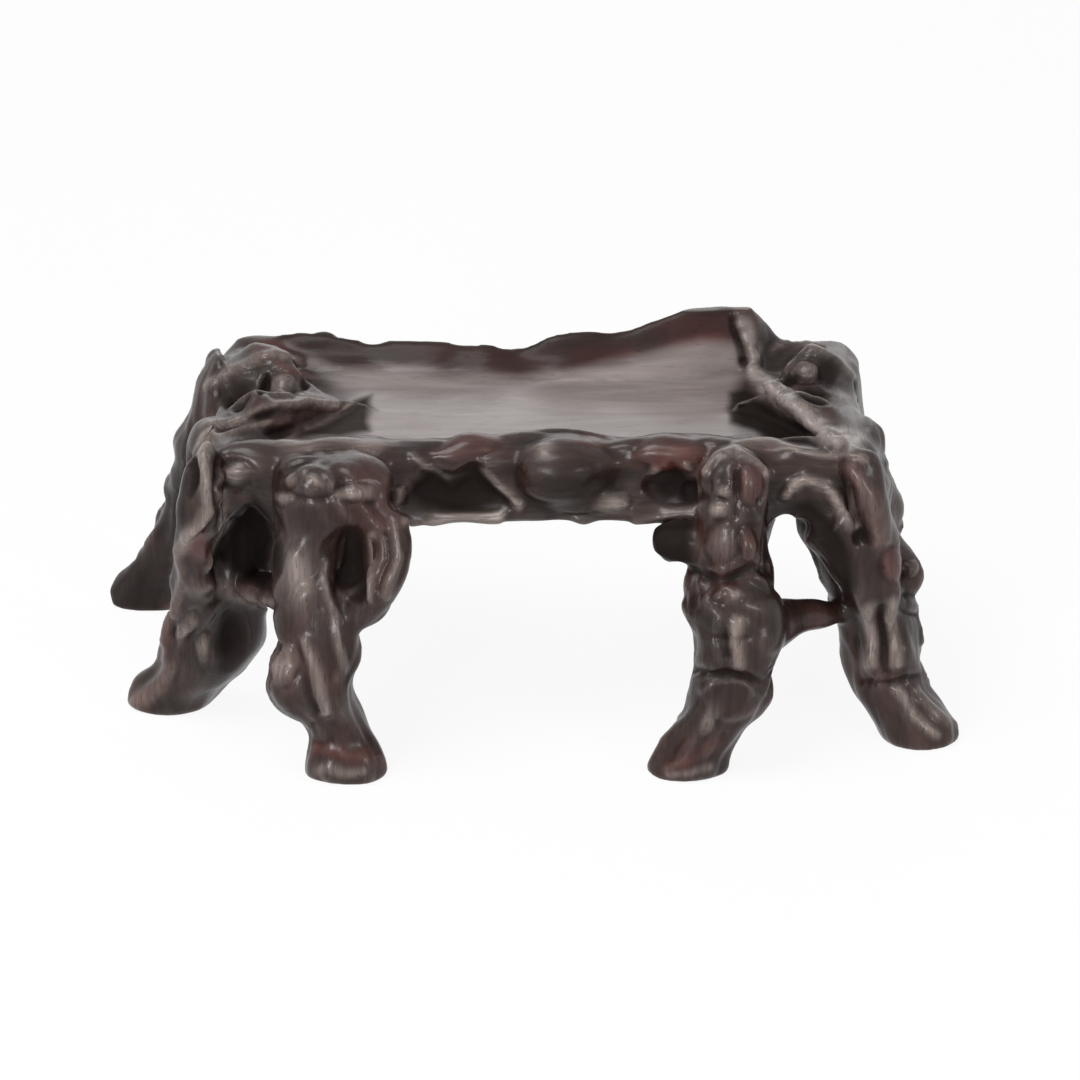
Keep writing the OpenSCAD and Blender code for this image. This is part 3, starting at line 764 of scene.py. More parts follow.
FRONT_RIGHT_INNER: tuple[Mark, ...] = (
    Strand(((602, 500), (606, 495.5), (612, 494), (618, 496.5), (622, 501)), 1.5, 0.9, painted_highlight=0.6),
    Boss((607, 506.5), (3.4, 2.6), 0.7, ring=0.3, painted_highlight=0.7),
    Boss((605.6, 513), (3.8, 3.2), 0.7, ring=0.2, painted_highlight=0.9),
    Boss((616, 504), (4.5, 7), 0.5, ring=0.4, red=0.7),
    Strand(((611.5, 500), (611, 508), (612, 515)), 1.2, -0.6),
    Strand(((617.5, 510), (620, 516)), 1.2, 0.5),
    Boss((607, 524), (6.5, 7), 0.6, ring=0.3, painted_highlight=0.35),
    Boss((616.5, 525), (3.6, 7), 0.5, ring=0.3, red=0.3),
    Strand(((598, 533.5), (608, 535.5), (622, 533.5)), 1.9, -1.3),
    Boss((610, 546), (15, 9.5), 0.6, ring=0.5),
    Boss((606, 541), (2.8, 2.4), 0.5, ring=0.15),
    Boss((612, 541), (3.2, 2.4), 0.6, ring=0.15, painted_highlight=0.7),
    Strand(((606, 550), (605, 556), (605.5, 563)), 1.8, 0.6),
    Strand(((612.5, 549), (612, 556), (612.5, 565)), 2.2, 0.8, red=0.3, painted_highlight=0.9),
    Strand(((609.3, 552), (609, 562)), 1.1, -0.5),
    Strand(((597, 567), (603, 568.5), (609, 567.5), (620, 570)), 1.4, -1.0),
    Strand(((601, 574), (606, 570.8), (612, 570.5), (619, 575)), 1.2, 0.6),
    Boss((610, 577), (10, 7.5), 0.6, ring=0.3),
    Boss((602, 583), (3.4, 6), 0.5, ring=0.2, tilt=24, painted_highlight=0.6),
    Strand(((604, 590), (598, 596), (590, 599)), 2.4, 0.5, red=0.6),
    Strand(((590, 601.5), (597, 601), (603, 598.5)), 1.5, 0.2, painted_highlight=0.5),
    # painted shade on the stub under the apron
    Pocket(((582, 517), (597.5, 517), (597.5, 531), (584, 532)), 0.0, soft=4.0),
)
FRONT_RIGHT_OUTER: tuple[Mark, ...] = (
    Strand(((630, 505), (635, 503), (642, 505.5), (647, 511), (651, 518)), 2.0, 1.1, painted_highlight=0.95),
    Boss((628.2, 507), (2.8, 2.6), 0.7, ring=0.3, painted_highlight=0.9),
    Strand(((650, 500), (655, 507), (658.5, 516), (659, 523)), 2.4, 0.8, red=0.8, painted_highlight=0.3),
    Strand(((649.5, 506), (652, 514), (653, 524)), 1.4, -1.0),
    Pocket((
        (630, 512), (636, 510), (643, 514), (648, 522), (652, 532), (650, 543), (644, 540), (640, 530),
    ), 1.4, shade_paint=0.9, soft=4.0),
    Boss((664, 532), (4.5, 6.5), 0.7, ring=0.3, red=0.8),
    Boss((670.5, 533), (3.4, 3.4), 1.0, ring=0.3),
    Boss((670.5, 544), (3.4, 3.4), 1.0, ring=0.3),
    Strand(((656.5, 545), (656.5, 554), (657.5, 564)), 1.9, 1.0, painted_highlight=0.9),
    Strand(((663.5, 545), (664, 554), (665, 563)), 1.9, 1.0, painted_highlight=0.9),
    Strand(((660.6, 546), (660.7, 556), (662, 566)), 1.2, -0.5),
    Strand(((651, 546), (651, 558), (654, 568)), 1.6, -0.6),
    Strand(((655, 570), (664, 570.5), (673, 569)), 1.3, -0.6),
    Strand(((665, 574), (670, 581), (678, 587)), 1.9, 0.8, painted_highlight=0.85),
    Strand(((672, 574), (679, 580), (685, 584)), 1.6, 0.7, painted_highlight=0.5),
    Strand(((668, 577), (675, 584.5)), 1.0, -0.5),
)
PHOTO_MARKS: tuple[Mark, ...] = (
    *LEFT_RIM, *FRONT_LEFT_OUTER, *FRONT_LEFT_INNER, *FRONT_APRON,
    *RIGHT_RIM, *FRONT_RIGHT_INNER, *FRONT_RIGHT_OUTER,
)


# Outline of the painted sheen on the tray's floor, which climbs the back wall's cove at its right end
FLOOR_SHEEN_POOL: tuple[Pixel, ...] = (
    (473, 467), (486, 466.5), (500, 466.5), (520, 468), (540, 469.5), (556, 467), (570, 464.5), (582, 462),
    (592, 459), (600, 457.5), (612, 458), (614, 468), (611, 474), (611, 484), (614, 491), (560, 496),
    (486, 496), (468, 491), (488, 477), (480, 473.5),
)


# The carved root


@dataclass
class RootSkin:
    """One continuous carved skin over the rails, legs and tray panel, parted into a piece for each."""

    view: PhotoView
    rails: tuple[str, ...] = ("front_rail", "right_rail", "back_rail", "left_rail")
    legs: tuple[str, ...] = (
        "front_left_inner_leg", "front_right_inner_leg", "back_left_inner_leg", "back_right_inner_leg",
        "front_left_outer_leg", "front_right_outer_leg", "back_left_outer_leg", "back_right_outer_leg",
    )
    fillers: tuple[str, ...] = ("leg_dowels", "corner_dowels")
    panel: str = "tray_panel"
    voxel: float = 0.5 * MM
    quick_voxel: float = 0.9 * MM
    swell: float = 0.17 * MM
    soften: int = 30
    fill: int = 60
    tray_fill: int = 70
    web_fill: int = 240
    fill_step: float = 0.55
    # Pixel and reach in pixels of each place where roots grow into one another
    webs: tuple[tuple[Pixel, float], ...] = (
        ((452.0, 541.0), 15.0), ((623.0, 544.0), 11.0), ((624.0, 556.0), 12.0), ((652.0, 549.0), 9.0),
        ((625.0, 519.0), 7.0), ((641.0, 519.0), 8.0), ((431.0, 545.0), 12.0), ((437.0, 505.0), 12.0),
        ((441.0, 498.0), 9.0), ((435.0, 490.0), 8.0), ((656.0, 512.0), 12.0), ((648.0, 500.0), 11.0),
        ((648.0, 512.0), 9.0), ((659.0, 494.0), 8.0), ((660.0, 525.0), 9.0), ((659.0, 544.0), 9.0),
        ((428.0, 552.0), 9.0),
    )
    rope_bead: float = 1.6 * MM
    rope_step: float = 2.6
    neck: tuple[Pixel, Pixel] = ((627.0, 551.0), (642.0, 548.0))
    neck_reach: float = 12.0
    neck_flare: float = 1.5 * MM
    neck_lift: float = 1.0 * MM
    neck_rounds: int = 60
    edge_rounds: int = 14
    edge_top: float = 5 * MM
    edge_fade: float = 3 * MM
    regain: float = 0.05 * MM
    # Pixel across, and millimetres that the crest rises there
    crest: tuple[tuple[float, float], ...] = (
        (430, 2.4), (470, 1.8), (520, 2.2), (560, 1.5), (590, 0.9), (604, 2.1), (626, 2.4), (638, 1.4),
        (650, -1.6),
    )
    # Middle and half width in pixels, and rise in millimetres
    arches: tuple[tuple[float, float, float], ...] = ((449.5, 10.0, 4.7), (628.0, 8.0, 2.4))
    # Rail, and middle, half width and rise in millimetres
    plain_arches: tuple[tuple[str, float, float, float], ...] = (
        ("back_rail", 2.0, 30.0, 3.4), ("back_rail", 49.0, 9.0, 2.4), ("back_rail", -48.0, 9.0, 2.6),
        ("left_rail", 6.0, 17.0, 3.8), ("right_rail", 4.0, 17.0, 3.6),
    )
    arch_depth: float = 11 * MM
    flute_rise: float = 1.05 * MM
    knurl_rise: float = 0.60 * MM
    flute_round: float = 7.5 * MM
    leg_core: float = 5.5 * MM
    sole_fade: float = 1.5 * MM
    floor_depth: float = 1.5 * MM
    pool_soft: float = 5.0
    rope_half: float = 2.3
    rope_highlight: float = 0.80
    stray: float = 2.0
    hidden_marks: int = 190
    hidden_gap: float = 6.5 * MM
    hidden_reach: float = 9 * MM
    hidden_above: float = 5 * MM
    seed: int = 7
    points: np.ndarray = field(default=None, repr=False)
    normals: np.ndarray = field(default=None, repr=False)
    quads: list[tuple[int, ...]] = field(default=None, repr=False)
    triangles: np.ndarray = field(default=None, repr=False)
    beside: np.ndarray = field(default=None, repr=False)
    first: np.ndarray = field(default=None, repr=False)
    count: np.ndarray = field(default=None, repr=False)
    owner: np.ndarray = field(default=None, repr=False)
    unseen: np.ndarray = field(default=None, repr=False)
    heart: np.ndarray = field(default=None, repr=False)
    painted_shade_share: np.ndarray = field(default=None, repr=False)
    painted_highlight: np.ndarray = field(default=None, repr=False)

    MARKS = "carving"
    FLOOR_SHEEN = "tray_floor"

    def build(self) -> None:
        """Joins, softens and carves the skin, with the same noise in each run."""
        noise.seed_set(self.seed)
        self._join()
        self._read_owner()
        self._cut_arches()
        self._relax(4, 0.5)
        self._fill_creases()
        self._fill_webs()
        self._round_edges()
        self._relax(self.soften, 0.5)
        self._push(self.regain * (1.0 - self._on_floor()))
        self._raise_crest()
        self._flutes()
        self._photo_marks()
        self._scatter_marks()
        self._draw_neck()
        self._relax(2, 0.4)
        self._hold_box()
        self._find_normals()
        LOG.info("root skin: %d vertices, %d faces", len(self.points), len(self.quads))

    def _join(self) -> None:
        """Welds slightly swollen copies of the solids into one skin of even quads."""
        joined = bmesh.new()
        for name in (*self.rails, *self.legs, *self.fillers, self.panel):
            copy = bmesh.new()
            copy.from_mesh(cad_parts[name].data)
            bmesh.ops.remove_doubles(copy, verts=copy.verts, dist=2e-6)
            copy.normal_update()
            away = [v.normal.copy() for v in copy.verts]
            for vert, normal in zip(copy.verts, away):
                vert.co += normal * self.swell
            scratch = bpy.data.meshes.new("scratch")
            copy.to_mesh(scratch)
            copy.free()
            joined.from_mesh(scratch)
            bpy.data.meshes.remove(scratch)
        self._lay_rope(joined)
        mesh = bpy.data.meshes.new("joined")
        joined.to_mesh(mesh)
        joined.free()
        holder = bpy.data.objects.new("joined", mesh)
        bpy.context.scene.collection.objects.link(holder)
        remesh = holder.modifiers.new("skin", "REMESH")
        remesh.mode = "VOXEL"
        remesh.voxel_size = self._side()
        remesh.adaptivity = 0.0
        shaped = holder.evaluated_get(bpy.context.evaluated_depsgraph_get())
        skin = bpy.data.meshes.new_from_object(shaped)
        self._take(skin)
        bpy.data.objects.remove(holder)
        bpy.data.meshes.remove(mesh)
        bpy.data.meshes.remove(skin)

    def _side(self) -> float:
        return self.voxel

    def _lay_rope(self, joined: bmesh.types.BMesh) -> None:
        """Lays the right rim's knotted root on the solids, as beads sunk to half their depth.

        Args:
            joined: The solids' copies, which the beads are added to.
        """
        tree = BVHTree.FromBMesh(joined)
        path = np.array(ROPE)
        length = np.cumsum(np.linalg.norm(np.diff(path, axis=0, prepend=path[:1]), axis=1))
        for turn, at in enumerate(np.arange(0.0, length[-1], self.rope_step)):
            aside = 0.7 * (-1) ** turn
            pixel = (np.interp(at, length, path[:, 0]) + aside, np.interp(at, length, path[:, 1]) - aside)
            seat = tree.ray_cast(self.view.eye(), self.view.ray(pixel))[0]
            if seat is not None:
                bmesh.ops.create_icosphere(
                    joined, subdivisions=2, radius=self.rope_bead * (0.85 + 0.15 * (turn * 5 % 4)),
                    matrix=Matrix.Translation(seat),
                )

    def _take(self, skin: bpy.types.Mesh) -> None:
        """Reads a mesh into arrays in order of place, leaving out closed pockets inside the wood.

        Args:
            skin: The welded skin.
        """
        count = len(skin.vertices)
        points = np.empty(count * 3)
        skin.vertices.foreach_get("co", points)
        points = points.reshape(-1, 3)
        order = np.lexsort(points.T)
        rank = np.argsort(order)
        points = points[order]
        edges = np.empty(len(skin.edges) * 2, dtype=np.int64)
        skin.edges.foreach_get("vertices", edges)
        edges = np.sort(rank[edges.reshape(-1, 2)], axis=1)
        edges = edges[np.lexsort(edges.T[::-1])]
        keep = self._largest(count, edges)
        index = np.cumsum(keep) - 1
        self.points = points[keep]
        edges = index[edges[keep[edges[:, 0]]]]
        faces = [rank[list(face.vertices)] for face in skin.polygons]
        self.quads = sorted(
            tuple(int(index[v]) for v in np.roll(face, -face.argmin())) for face in faces if keep[face[0]]
        )
        self.triangles = np.array(
            [(q[0], q[i], q[i + 1]) for q in self.quads for i in range(1, len(q) - 1)], dtype=np.int64
        )
        both = np.concatenate([edges, edges[:, ::-1]])
        both = both[np.argsort(both[:, 0], kind="stable")]
        self.beside = both[:, 1]
        self.count = np.bincount(both[:, 0], minlength=len(self.points))
        self.first = np.cumsum(self.count) - self.count
        self._find_normals()
        self.heart, self.painted_shade_share, self.painted_highlight = np.zeros((3, len(self.points)))

    @staticmethod
    def _largest(count: int, edges: np.ndarray) -> np.ndarray:
        """Finds the largest joined part of a mesh.

        Args:
            count: Number of vertices.
            edges: Pairs of vertices.

        Returns:
            True for each vertex of that part.
        """
        label = np.arange(count)
        while True:
            low = np.minimum(label[edges[:, 0]], label[edges[:, 1]])
            new = label.copy()
            np.minimum.at(new, edges[:, 0], low)
            np.minimum.at(new, edges[:, 1], low)
            new = new[new]
            if (new == label).all():
                return label == np.bincount(label).argmax()
            label = new

    def _find_normals(self) -> None:
        """Works out the vertex normals."""
        a, b, c = (self.points[self.triangles[:, i]] for i in range(3))
        flat = np.cross(b - a, c - a)
        total = np.zeros_like(self.points)
        for corner in range(3):
            for axis in range(3):
                total[:, axis] += np.bincount(
                    self.triangles[:, corner], weights=flat[:, axis], minlength=len(total)
                )
        self.normals = total / np.maximum(np.linalg.norm(total, axis=1, keepdims=True), 1e-20)

    def _spread(self, values: np.ndarray) -> np.ndarray:
        """Mean of each vertex's neighbours.

        Args:
            values: One row for each vertex.

        Returns:
            The means.
        """
        table = values.reshape(len(self.points), -1)
        total = np.add.reduceat(table[self.beside], self.first, axis=0)
        return (total / self.count[:, None]).reshape(values.shape)

    def _blur(self, values: np.ndarray, rounds: int, step: float = 0.5) -> np.ndarray:
        """Evens values out over the skin.

        Args:
            values: One row for each vertex.
            rounds: How often.
            step: Share of the way to the neighbours' mean.

        Returns:
            The evened values.
        """
        for _ in range(rounds):
            values = (1.0 - step) * values + step * self._spread(values)
        return values

    def _bend(self) -> np.ndarray:
        """How far each vertex lies below its neighbours' mean, along its normal."""
        return ((self._spread(self.points) - self.points) * self.normals).sum(axis=1)

    def _melt(self, share: np.ndarray, rounds: int) -> None:
        """Smooths the skin in places.

        Args:
            share: How much, for each vertex.
            rounds: How often.
        """
        for _ in range(rounds):
            self.points += (0.5 * share)[:, None] * (self._spread(self.points) - self.points)
        self._find_normals()

    def _over_tray(self, margin: float) -> np.ndarray:
        """Finds the vertices over the tray panel.

        Args:
            margin: Metres past the panel's edges that still count.

        Returns:
            True for each such vertex.
        """
        low, high = (np.array(corner[:2]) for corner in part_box(self.panel))
        over = np.all(self.points[:, :2] > low - margin, axis=1)
        return over & np.all(self.points[:, :2] < high + margin, axis=1)

    def _relax(self, rounds: int, step: float) -> None:
        """Softens the skin, then gives back what its broad forms lost.

        Args:
            rounds: How often.
            step: Share of the way to the neighbours' mean.
        """
        before = self.points.copy()
        for _ in range(rounds):
            self.points += step * (self._spread(self.points) - self.points)
        self.points += self._blur(before - self.points, 2 * rounds)
        self._find_normals()

    def _push(self, rise: np.ndarray) -> None:
        """Moves the skin along its normals.

        Args:
            rise: Metres, for each vertex.
        """
        self.points += self.normals * rise[:, None]
        self._find_normals()

    def _read_owner(self) -> None:
        """Finds the CAD node nearest to each vertex."""
        names = self._names()
        places: list[Vector] = []
        faces: list[tuple[int, ...]] = []
        of_face: list[int] = []
        for number, name in enumerate(names):
            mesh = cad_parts[name].data
            base = len(places)
            places += [v.co for v in mesh.vertices]
            for face in mesh.polygons:
                faces.append(tuple(base + v for v in face.vertices))
                of_face.append(number)
        tree = BVHTree.FromPolygons(places, faces)
        self.owner = np.array([of_face[tree.find_nearest(Vector(p))[2]] for p in self.points])

    def _names(self) -> tuple[str, ...]:
        """Nodes of the skin, in the order of their numbers."""
        return (*self.rails, *self.legs, self.panel)

    def _on_floor(self) -> np.ndarray:
        """Share of tray floor, fading out up the cove.

        Returns:
            The share of each vertex.
        """
        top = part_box(self.panel)[1][2]
        flat = (self.owner == len(self._names()) - 1) & (self.normals[:, 2] > 0.6)
        return self._blur((flat & (self.points[:, 2] > top - self.floor_depth)).astype(float), 5)

    def _painted_floor_sheen(self) -> np.ndarray:
        """Share of painted sheen on the tray's floor, inside its drawn outline, and of painted highlight
        along the rope.

        Returns:
            The share of each vertex.
        """
        low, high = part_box(self.panel)
        above = self.points[:, 2] > high[2] - self.floor_depth
        over = self._over_tray(1 * MM) & above & (self.normals[:, 2] > 0.1)
        over &= (self.points[:, 1] > low[1] + 16 * MM) | (self.points[:, 2] < high[2] + 0.8 * MM)
        place = self.view.project(self.points)
        share = self._blur(np.where(over, inside_outline(place, FLOOR_SHEEN_POOL, self.pool_soft), 0.0), 3)
        # painted highlight along the rope
        rope = np.where(above, Strand(ROPE, self.rope_half, 0.0).near(place), 0.0)
        return np.maximum(share, self.rope_highlight * rope * (1.0 - self.unseen))

    def _fill_creases(self) -> None:
        """Fills inside corners with fillets, most round the tray's floor."""
        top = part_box(self.panel)[1][2]
        for turn in range(self.tray_fill):
            lift = np.maximum(self._bend(), 0.0)
            if turn >= self.fill:
                back = (self.points[:, 2] > top - 0.5 * MM) & (self.points[:, 1] > 0.0)
                lift *= self._over_tray(0.0) & back
            self.points += self.normals * (self.fill_step * lift)[:, None]
            if turn % 4 == 3:
                self._find_normals()
        self._find_normals()

    def _fill_webs(self) -> None:
        """Fills deeper where the photograph shows roots growing into one another."""
        place = self.view.project(self.points)
        near = np.zeros(len(self.points))
        for at, reach in self.webs:
            d = np.linalg.norm(place - np.array(at), axis=1) / reach
            near = np.maximum(near, np.clip(1.6 - 1.6 * d, 0.0, 1.0))
        near *= self.points[:, 1] < 0.0
        for turn in range(self.web_fill):
            lift = self.fill_step * near * np.maximum(self._bend(), 0.0)
            self.points += self.normals * lift[:, None]
            if turn % 6 == 5:
                self._find_normals()
        self._find_normals()

    def _round_edges(self) -> None:
        """Rounds the lower edges of the rails."""
        rail = self.owner < len(self.rails)
        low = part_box(self.rails[0])[0][2]
        share = np.clip((low + self.edge_top - self.points[:, 2]) / self.edge_fade, 0.0, 1.0) * rail
        self._melt(share, self.edge_rounds)

    def _cut_arches(self) -> None:
        """Raises the rails' lower edges into arches between the legs."""
        across = self.view.project(self.points)[:, 0]
        for at, half, rise in self.arches:
            self._cut_arch(self.rails[0], (across - at) / half, rise)
        for name, at, half, rise in self.plain_arches:
            along = self.points[:, 0 if name == "back_rail" else 1] / MM
            self._cut_arch(name, (along - at) / half, rise)
        self._find_normals()

    def _cut_arch(self, name: str, along: np.ndarray, rise: float) -> None:
        """Raises a rail's lower edge into one arch.

        Args:
            name: The rail's node.
            along: Place along the rail, from -1 to 1 under the arch.
            rise: Height of the arch, in millimetres.
        """
        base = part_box(name)[0][2]
        level = base + self.arch_depth
        mine = self.owner == self._names().index(name)
        lift = rise * MM * np.clip(1.0 - along**2, 0.0, 1.0) ** 2 * mine
        self.points[:, 2] += lift * np.clip((level - self.points[:, 2]) / (level - base), 0.0, 1.0)

    def _raise_crest(self) -> None:
        """Brings the crests behind the front rim to the photograph's outline, by pixel across."""
        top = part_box(self.panel)[1][2]
        share = np.clip((self.points[:, 2] - top - 4 * MM) / (4 * MM), 0.0, 1.0)
        share *= np.clip((self.points[:, 1] + 28 * MM) / (10 * MM), 0.0, 1.0)
        across = self.view.project(self.points)[:, 0]
        self.points[:, 2] += np.interp(across, *np.array(self.crest).T) * MM * share
        self._find_normals()

    def _axis(self, name: str, level: np.ndarray) -> np.ndarray:
        """Middle of a leg at given levels.

        Args:
            name: The leg's node.
            level: Heights.

        Returns:
            Rows of x, y.
        """
        co = np.array([tuple(v.co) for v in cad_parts[name].data.vertices])
        steps = np.linspace(co[:, 2].min(), co[:, 2].max(), 13)
        middle = []
        for z in steps:
            near = np.exp(-(((co[:, 2] - z) / (3.5 * MM)) ** 2)) + 1e-9
            middle.append((co[:, :2] * near[:, None]).sum(axis=0) / near.sum())
        middle = np.array(middle)
        return np.stack([np.interp(level, steps, middle[:, i]) for i in (0, 1)], axis=1)

    def _unrolled(self) -> tuple[np.ndarray, np.ndarray]:
        """Lays the skin out for the flutes: legs round their own axes, and all pressed along the grain.

        Returns:
            Places to read the noise at, and the share of flutes that each vertex takes.
        """
        place = self.points.copy()
        share = np.ones(len(place))
        for number, name in enumerate(self._names()):
            mine = self.owner == number
            if name in self.legs:
                away = place[mine, :2] - self._axis(name, place[mine, 2])
                turn = np.arctan2(away[:, 1], away[:, 0])
                share[mine] = np.clip(np.linalg.norm(away, axis=1) / self.leg_core - 0.15, 0.0, 1.0)
                place[mine, 0] = self.flute_round * np.cos(turn) + 0.03 * number
                place[mine, 1] = self.flute_round * np.sin(turn)
                place[mine, 2] *= 0.24
            elif name in ("front_rail", "back_rail"):
                place[mine, 0] *= 0.3
            else:
                place[mine, 1] *= 0.35
        return place, share

    def _flutes(self) -> None:
        """Raises sinewy flutes down the legs and along the rails, with small knurls over all."""
        place, share = self._unrolled()
        rise = np.empty(len(place))
        for i, (p, q) in enumerate(zip(place / MM, self.points / MM)):
            warp = noise.noise_vector(Vector(q) * 0.055) * 2.6
            spot = Vector(p) + Vector((warp.x, warp.y, 0.35 * warp.z))
            flute = noise.noise(spot * 0.30)
            fine = noise.noise(spot * 0.62 + Vector((17.0, 3.0, 5.0)))
            knurl = noise.noise(Vector(q) * 0.13)
            rise[i] = (flute + 0.22 * fine) * self.flute_rise + knurl * self.knurl_rise
        rail = self.owner < len(self.rails)
        calm = np.where(rail, np.where(self.normals[:, 2] > 0.35, 0.35, 0.6), 1.0)
        self._push(self._blur(rise, 4) * self._blur(calm, 6) * share * self._clear_of_seat())

    def _clear_of_seat(self) -> np.ndarray:
        """Share of carved relief allowed, none on the soles and the tray's floor.

        Returns:
            The share of each vertex.
        """
        sole = np.clip(self.points[:, 2] / self.sole_fade, 0.0, 1.0)
        return sole * (1.0 - self._on_floor())

    def _seen_share(self) -> np.ndarray:
        """Share of each vertex that the photograph's viewpoint sees, none where it is turned away."""
        tree = BVHTree.FromPolygons(
            [Vector(p) for p in self.points], [tuple(t) for t in self.triangles.tolist()]
        )
        toward = np.array(self.view.eye()) - self.points
        toward /= np.linalg.norm(toward, axis=1, keepdims=True)
        facing = (self.normals * toward).sum(axis=1)
        seen = np.zeros(len(self.points))
        for i in np.nonzero(facing > 0.02)[0]:
            start = Vector(self.points[i]) + Vector(self.normals[i]) * 0.25 * MM
            seen[i] = tree.ray_cast(start, Vector(toward[i]))[0] is None
        seen = self._blur(seen, 6)
        return np.clip(seen * 1.4 - 0.2, 0.0, 1.0) * np.clip((facing + 0.1) / 0.3, 0.0, 1.0)

    def _photo_marks(self) -> None:
        """Carves the marks that the photograph shows, on what its viewpoint sees."""
        share = self._seen_share()
        drift = np.array([
            tuple(noise.noise_vector(Vector(p) * 0.13))[:2] for p in self.points / MM
        ])
        place = self.view.project(self.points) + self.stray * drift
        rise = np.zeros(len(self.points))
        # each mark carves its rise, paints shade into its pocket, and paints highlight and red onto its
        # knot or strand
        for mark in PHOTO_MARKS:
            rise += mark.lift(place)
            if isinstance(mark, (Hollow, Pocket)):
                self.painted_shade_share = np.maximum(self.painted_shade_share, share * mark.shade(place))
            else:
                self.heart = np.maximum(self.heart, share * mark.blush(place))
                self.painted_highlight = np.maximum(self.painted_highlight, share * mark.highlight_share(place))
        self.unseen = 1.0 - share
        self._push(rise * MM * share * self._clear_of_seat())

    def _hidden_places(self) -> list[int]:
        """Picks vertices, well apart, on the sides that the photograph doesn't show.

        Returns:
            Their numbers.
        """
        free = (self.unseen > 0.8) & (self.owner < len(self._names()) - 1)
        free &= self.points[:, 2] > self.hidden_above
        order = np.random.default_rng(self.seed).permutation(len(self.points))
        picks: list[int] = []
        for i in order[free[order]]:
            if len(picks) >= self.hidden_marks:
                break
            if all(np.linalg.norm(self.points[i] - self.points[j]) > self.hidden_gap for j in picks):
                picks.append(int(i))
        return picks

    @staticmethod
    def _chosen_mark(rng: np.random.Generator) -> Mark:
        """Draws a knot, a pocket or a strand, with sizes in millimetres.

        Args:
            rng: Source of the draws.

        Returns:
            The mark, about the middle of its own plane.
        """
        kind = rng.integers(0, 3)
        wide, tall = rng.uniform(2.2, 3.8), rng.uniform(3.2, 6.0)
        if kind == 0:
            return Boss((0, 0), (wide, tall), rng.uniform(0.5, 0.9), ring=rng.uniform(0.1, 0.25))
        if kind == 1:
            return Hollow((0, 0), (wide * 0.8, tall), rng.uniform(0.8, 1.5), lip=0.25)
        bend = rng.uniform(-1.5, 1.5)
        path = ((bend, -6.0), (0.0, -2.0), (0.0, 2.0), (bend, 6.0))
        return Strand(path, 1.4, rng.uniform(0.5, 1.0))

    def _scatter_marks(self) -> None:
        """Carves marks on the hidden sides, each turned down its leg or along its rail."""
        rise = np.zeros(len(self.points))
        for i in self._hidden_places():
            rng = np.random.default_rng((self.seed, i))
            normal = self.normals[i]
            away = self.points - self.points[i]
            close = np.einsum("ij,ij->i", away, away) < self.hidden_reach ** 2
            near = np.nonzero(close & (self.normals @ normal > 0.1))[0]
            local = away[near] / MM
            leg = self._names()[self.owner[i]] in self.legs
            down = np.array((0.0, 0.0, -1.0) if leg else (1.0, 1.0, 0.0))
            down = down - normal * (normal @ down)
            down /= max(np.linalg.norm(down), 1e-9)
            side = np.cross(normal, down)
            turn = rng.uniform(-0.5, 0.5)
            u = local @ (side * math.cos(turn) + down * math.sin(turn))
            v = local @ (down * math.cos(turn) - side * math.sin(turn))
            fade = np.clip(1.5 - np.linalg.norm(local, axis=1) / 6.0, 0.0, 1.0)
            rise[near] += self._chosen_mark(rng).lift(np.stack([u, v], axis=1)) * fade
        self._push(rise * MM * self.unseen * self._clear_of_seat())

    def _draw_neck(self) -> None:
        """Draws the slender root between the right front legs into a neck, flared at the inner leg."""
        start, end = (np.array(pixel) for pixel in self.neck)
        away = self.view.project(self.points) - start
        along = away @ (end - start) / ((end - start) @ (end - start))
        beside = np.linalg.norm(away - np.clip(along, 0.0, 1.0)[:, None] * (end - start), axis=1)
        share = np.clip(1.8 - 1.8 * beside / self.neck_reach, 0.0, 1.0) * (self.points[:, 1] < 0.0)
        self.points[:, 2] += self.neck_lift * share * np.clip(2.0 - 2.0 * np.abs(along - 0.4), 0.0, 1.0)
        self._push(self.neck_flare * share * np.clip(1.0 - along, 0.0, 1.0) ** 1.5)
        self._melt(share, self.neck_rounds)

    def _hold_box(self) -> None:
        """Keeps the skin inside the CAD box, with the soles on the floor."""
        low, high = (np.array(corner) for corner in CAD_BOX)
        self.points = np.clip(self.points, low, high)

    def _marks(self) -> np.ndarray:
        """Works out the finish's masks from the shape and the marks, with painted highlight and painted
        shade.

        Returns:
            Rows of wear-and-highlight, painted-shade and heart-wood shares.
        """
        fine = self._blur(-(self._bend() / self._side()), 2)
        wide = self._blur(fine, 24, 0.6)
        # paler wear on convex ridges, with the marks' painted highlights on top
        wear_and_highlight_share = np.maximum(np.clip((fine + wide) * 1.5 - 0.04, 0.0, 0.28), self.painted_highlight)
        # painted shade in concave places and in the marks' pockets
        painted_shade = np.maximum(np.clip(-(fine + 1.6 * wide) * 4.5 - 0.06, 0.0, 1.0), self.painted_shade_share)
        return np.stack([wear_and_highlight_share, painted_shade, np.clip(self.heart, 0.0, 1.0)], axis=1)

    def part(self) -> dict[str, bpy.types.Object]:
        """Parts the skin at the joints.

        Returns:
            One piece for each rail and leg and for the tray panel.
        """
        marks = self._marks()
        floor = self._painted_floor_sheen()
        lead = np.array([self.owner[q[0]] for q in self.quads])
        pieces: dict[str, bpy.types.Object] = {}
        for number, name in enumerate(self._names()):
            faces = [self.quads[i] for i in np.nonzero(lead == number)[0]]
            pieces[name] = self._piece(f"{name}_carved", faces, marks, floor)
        return pieces

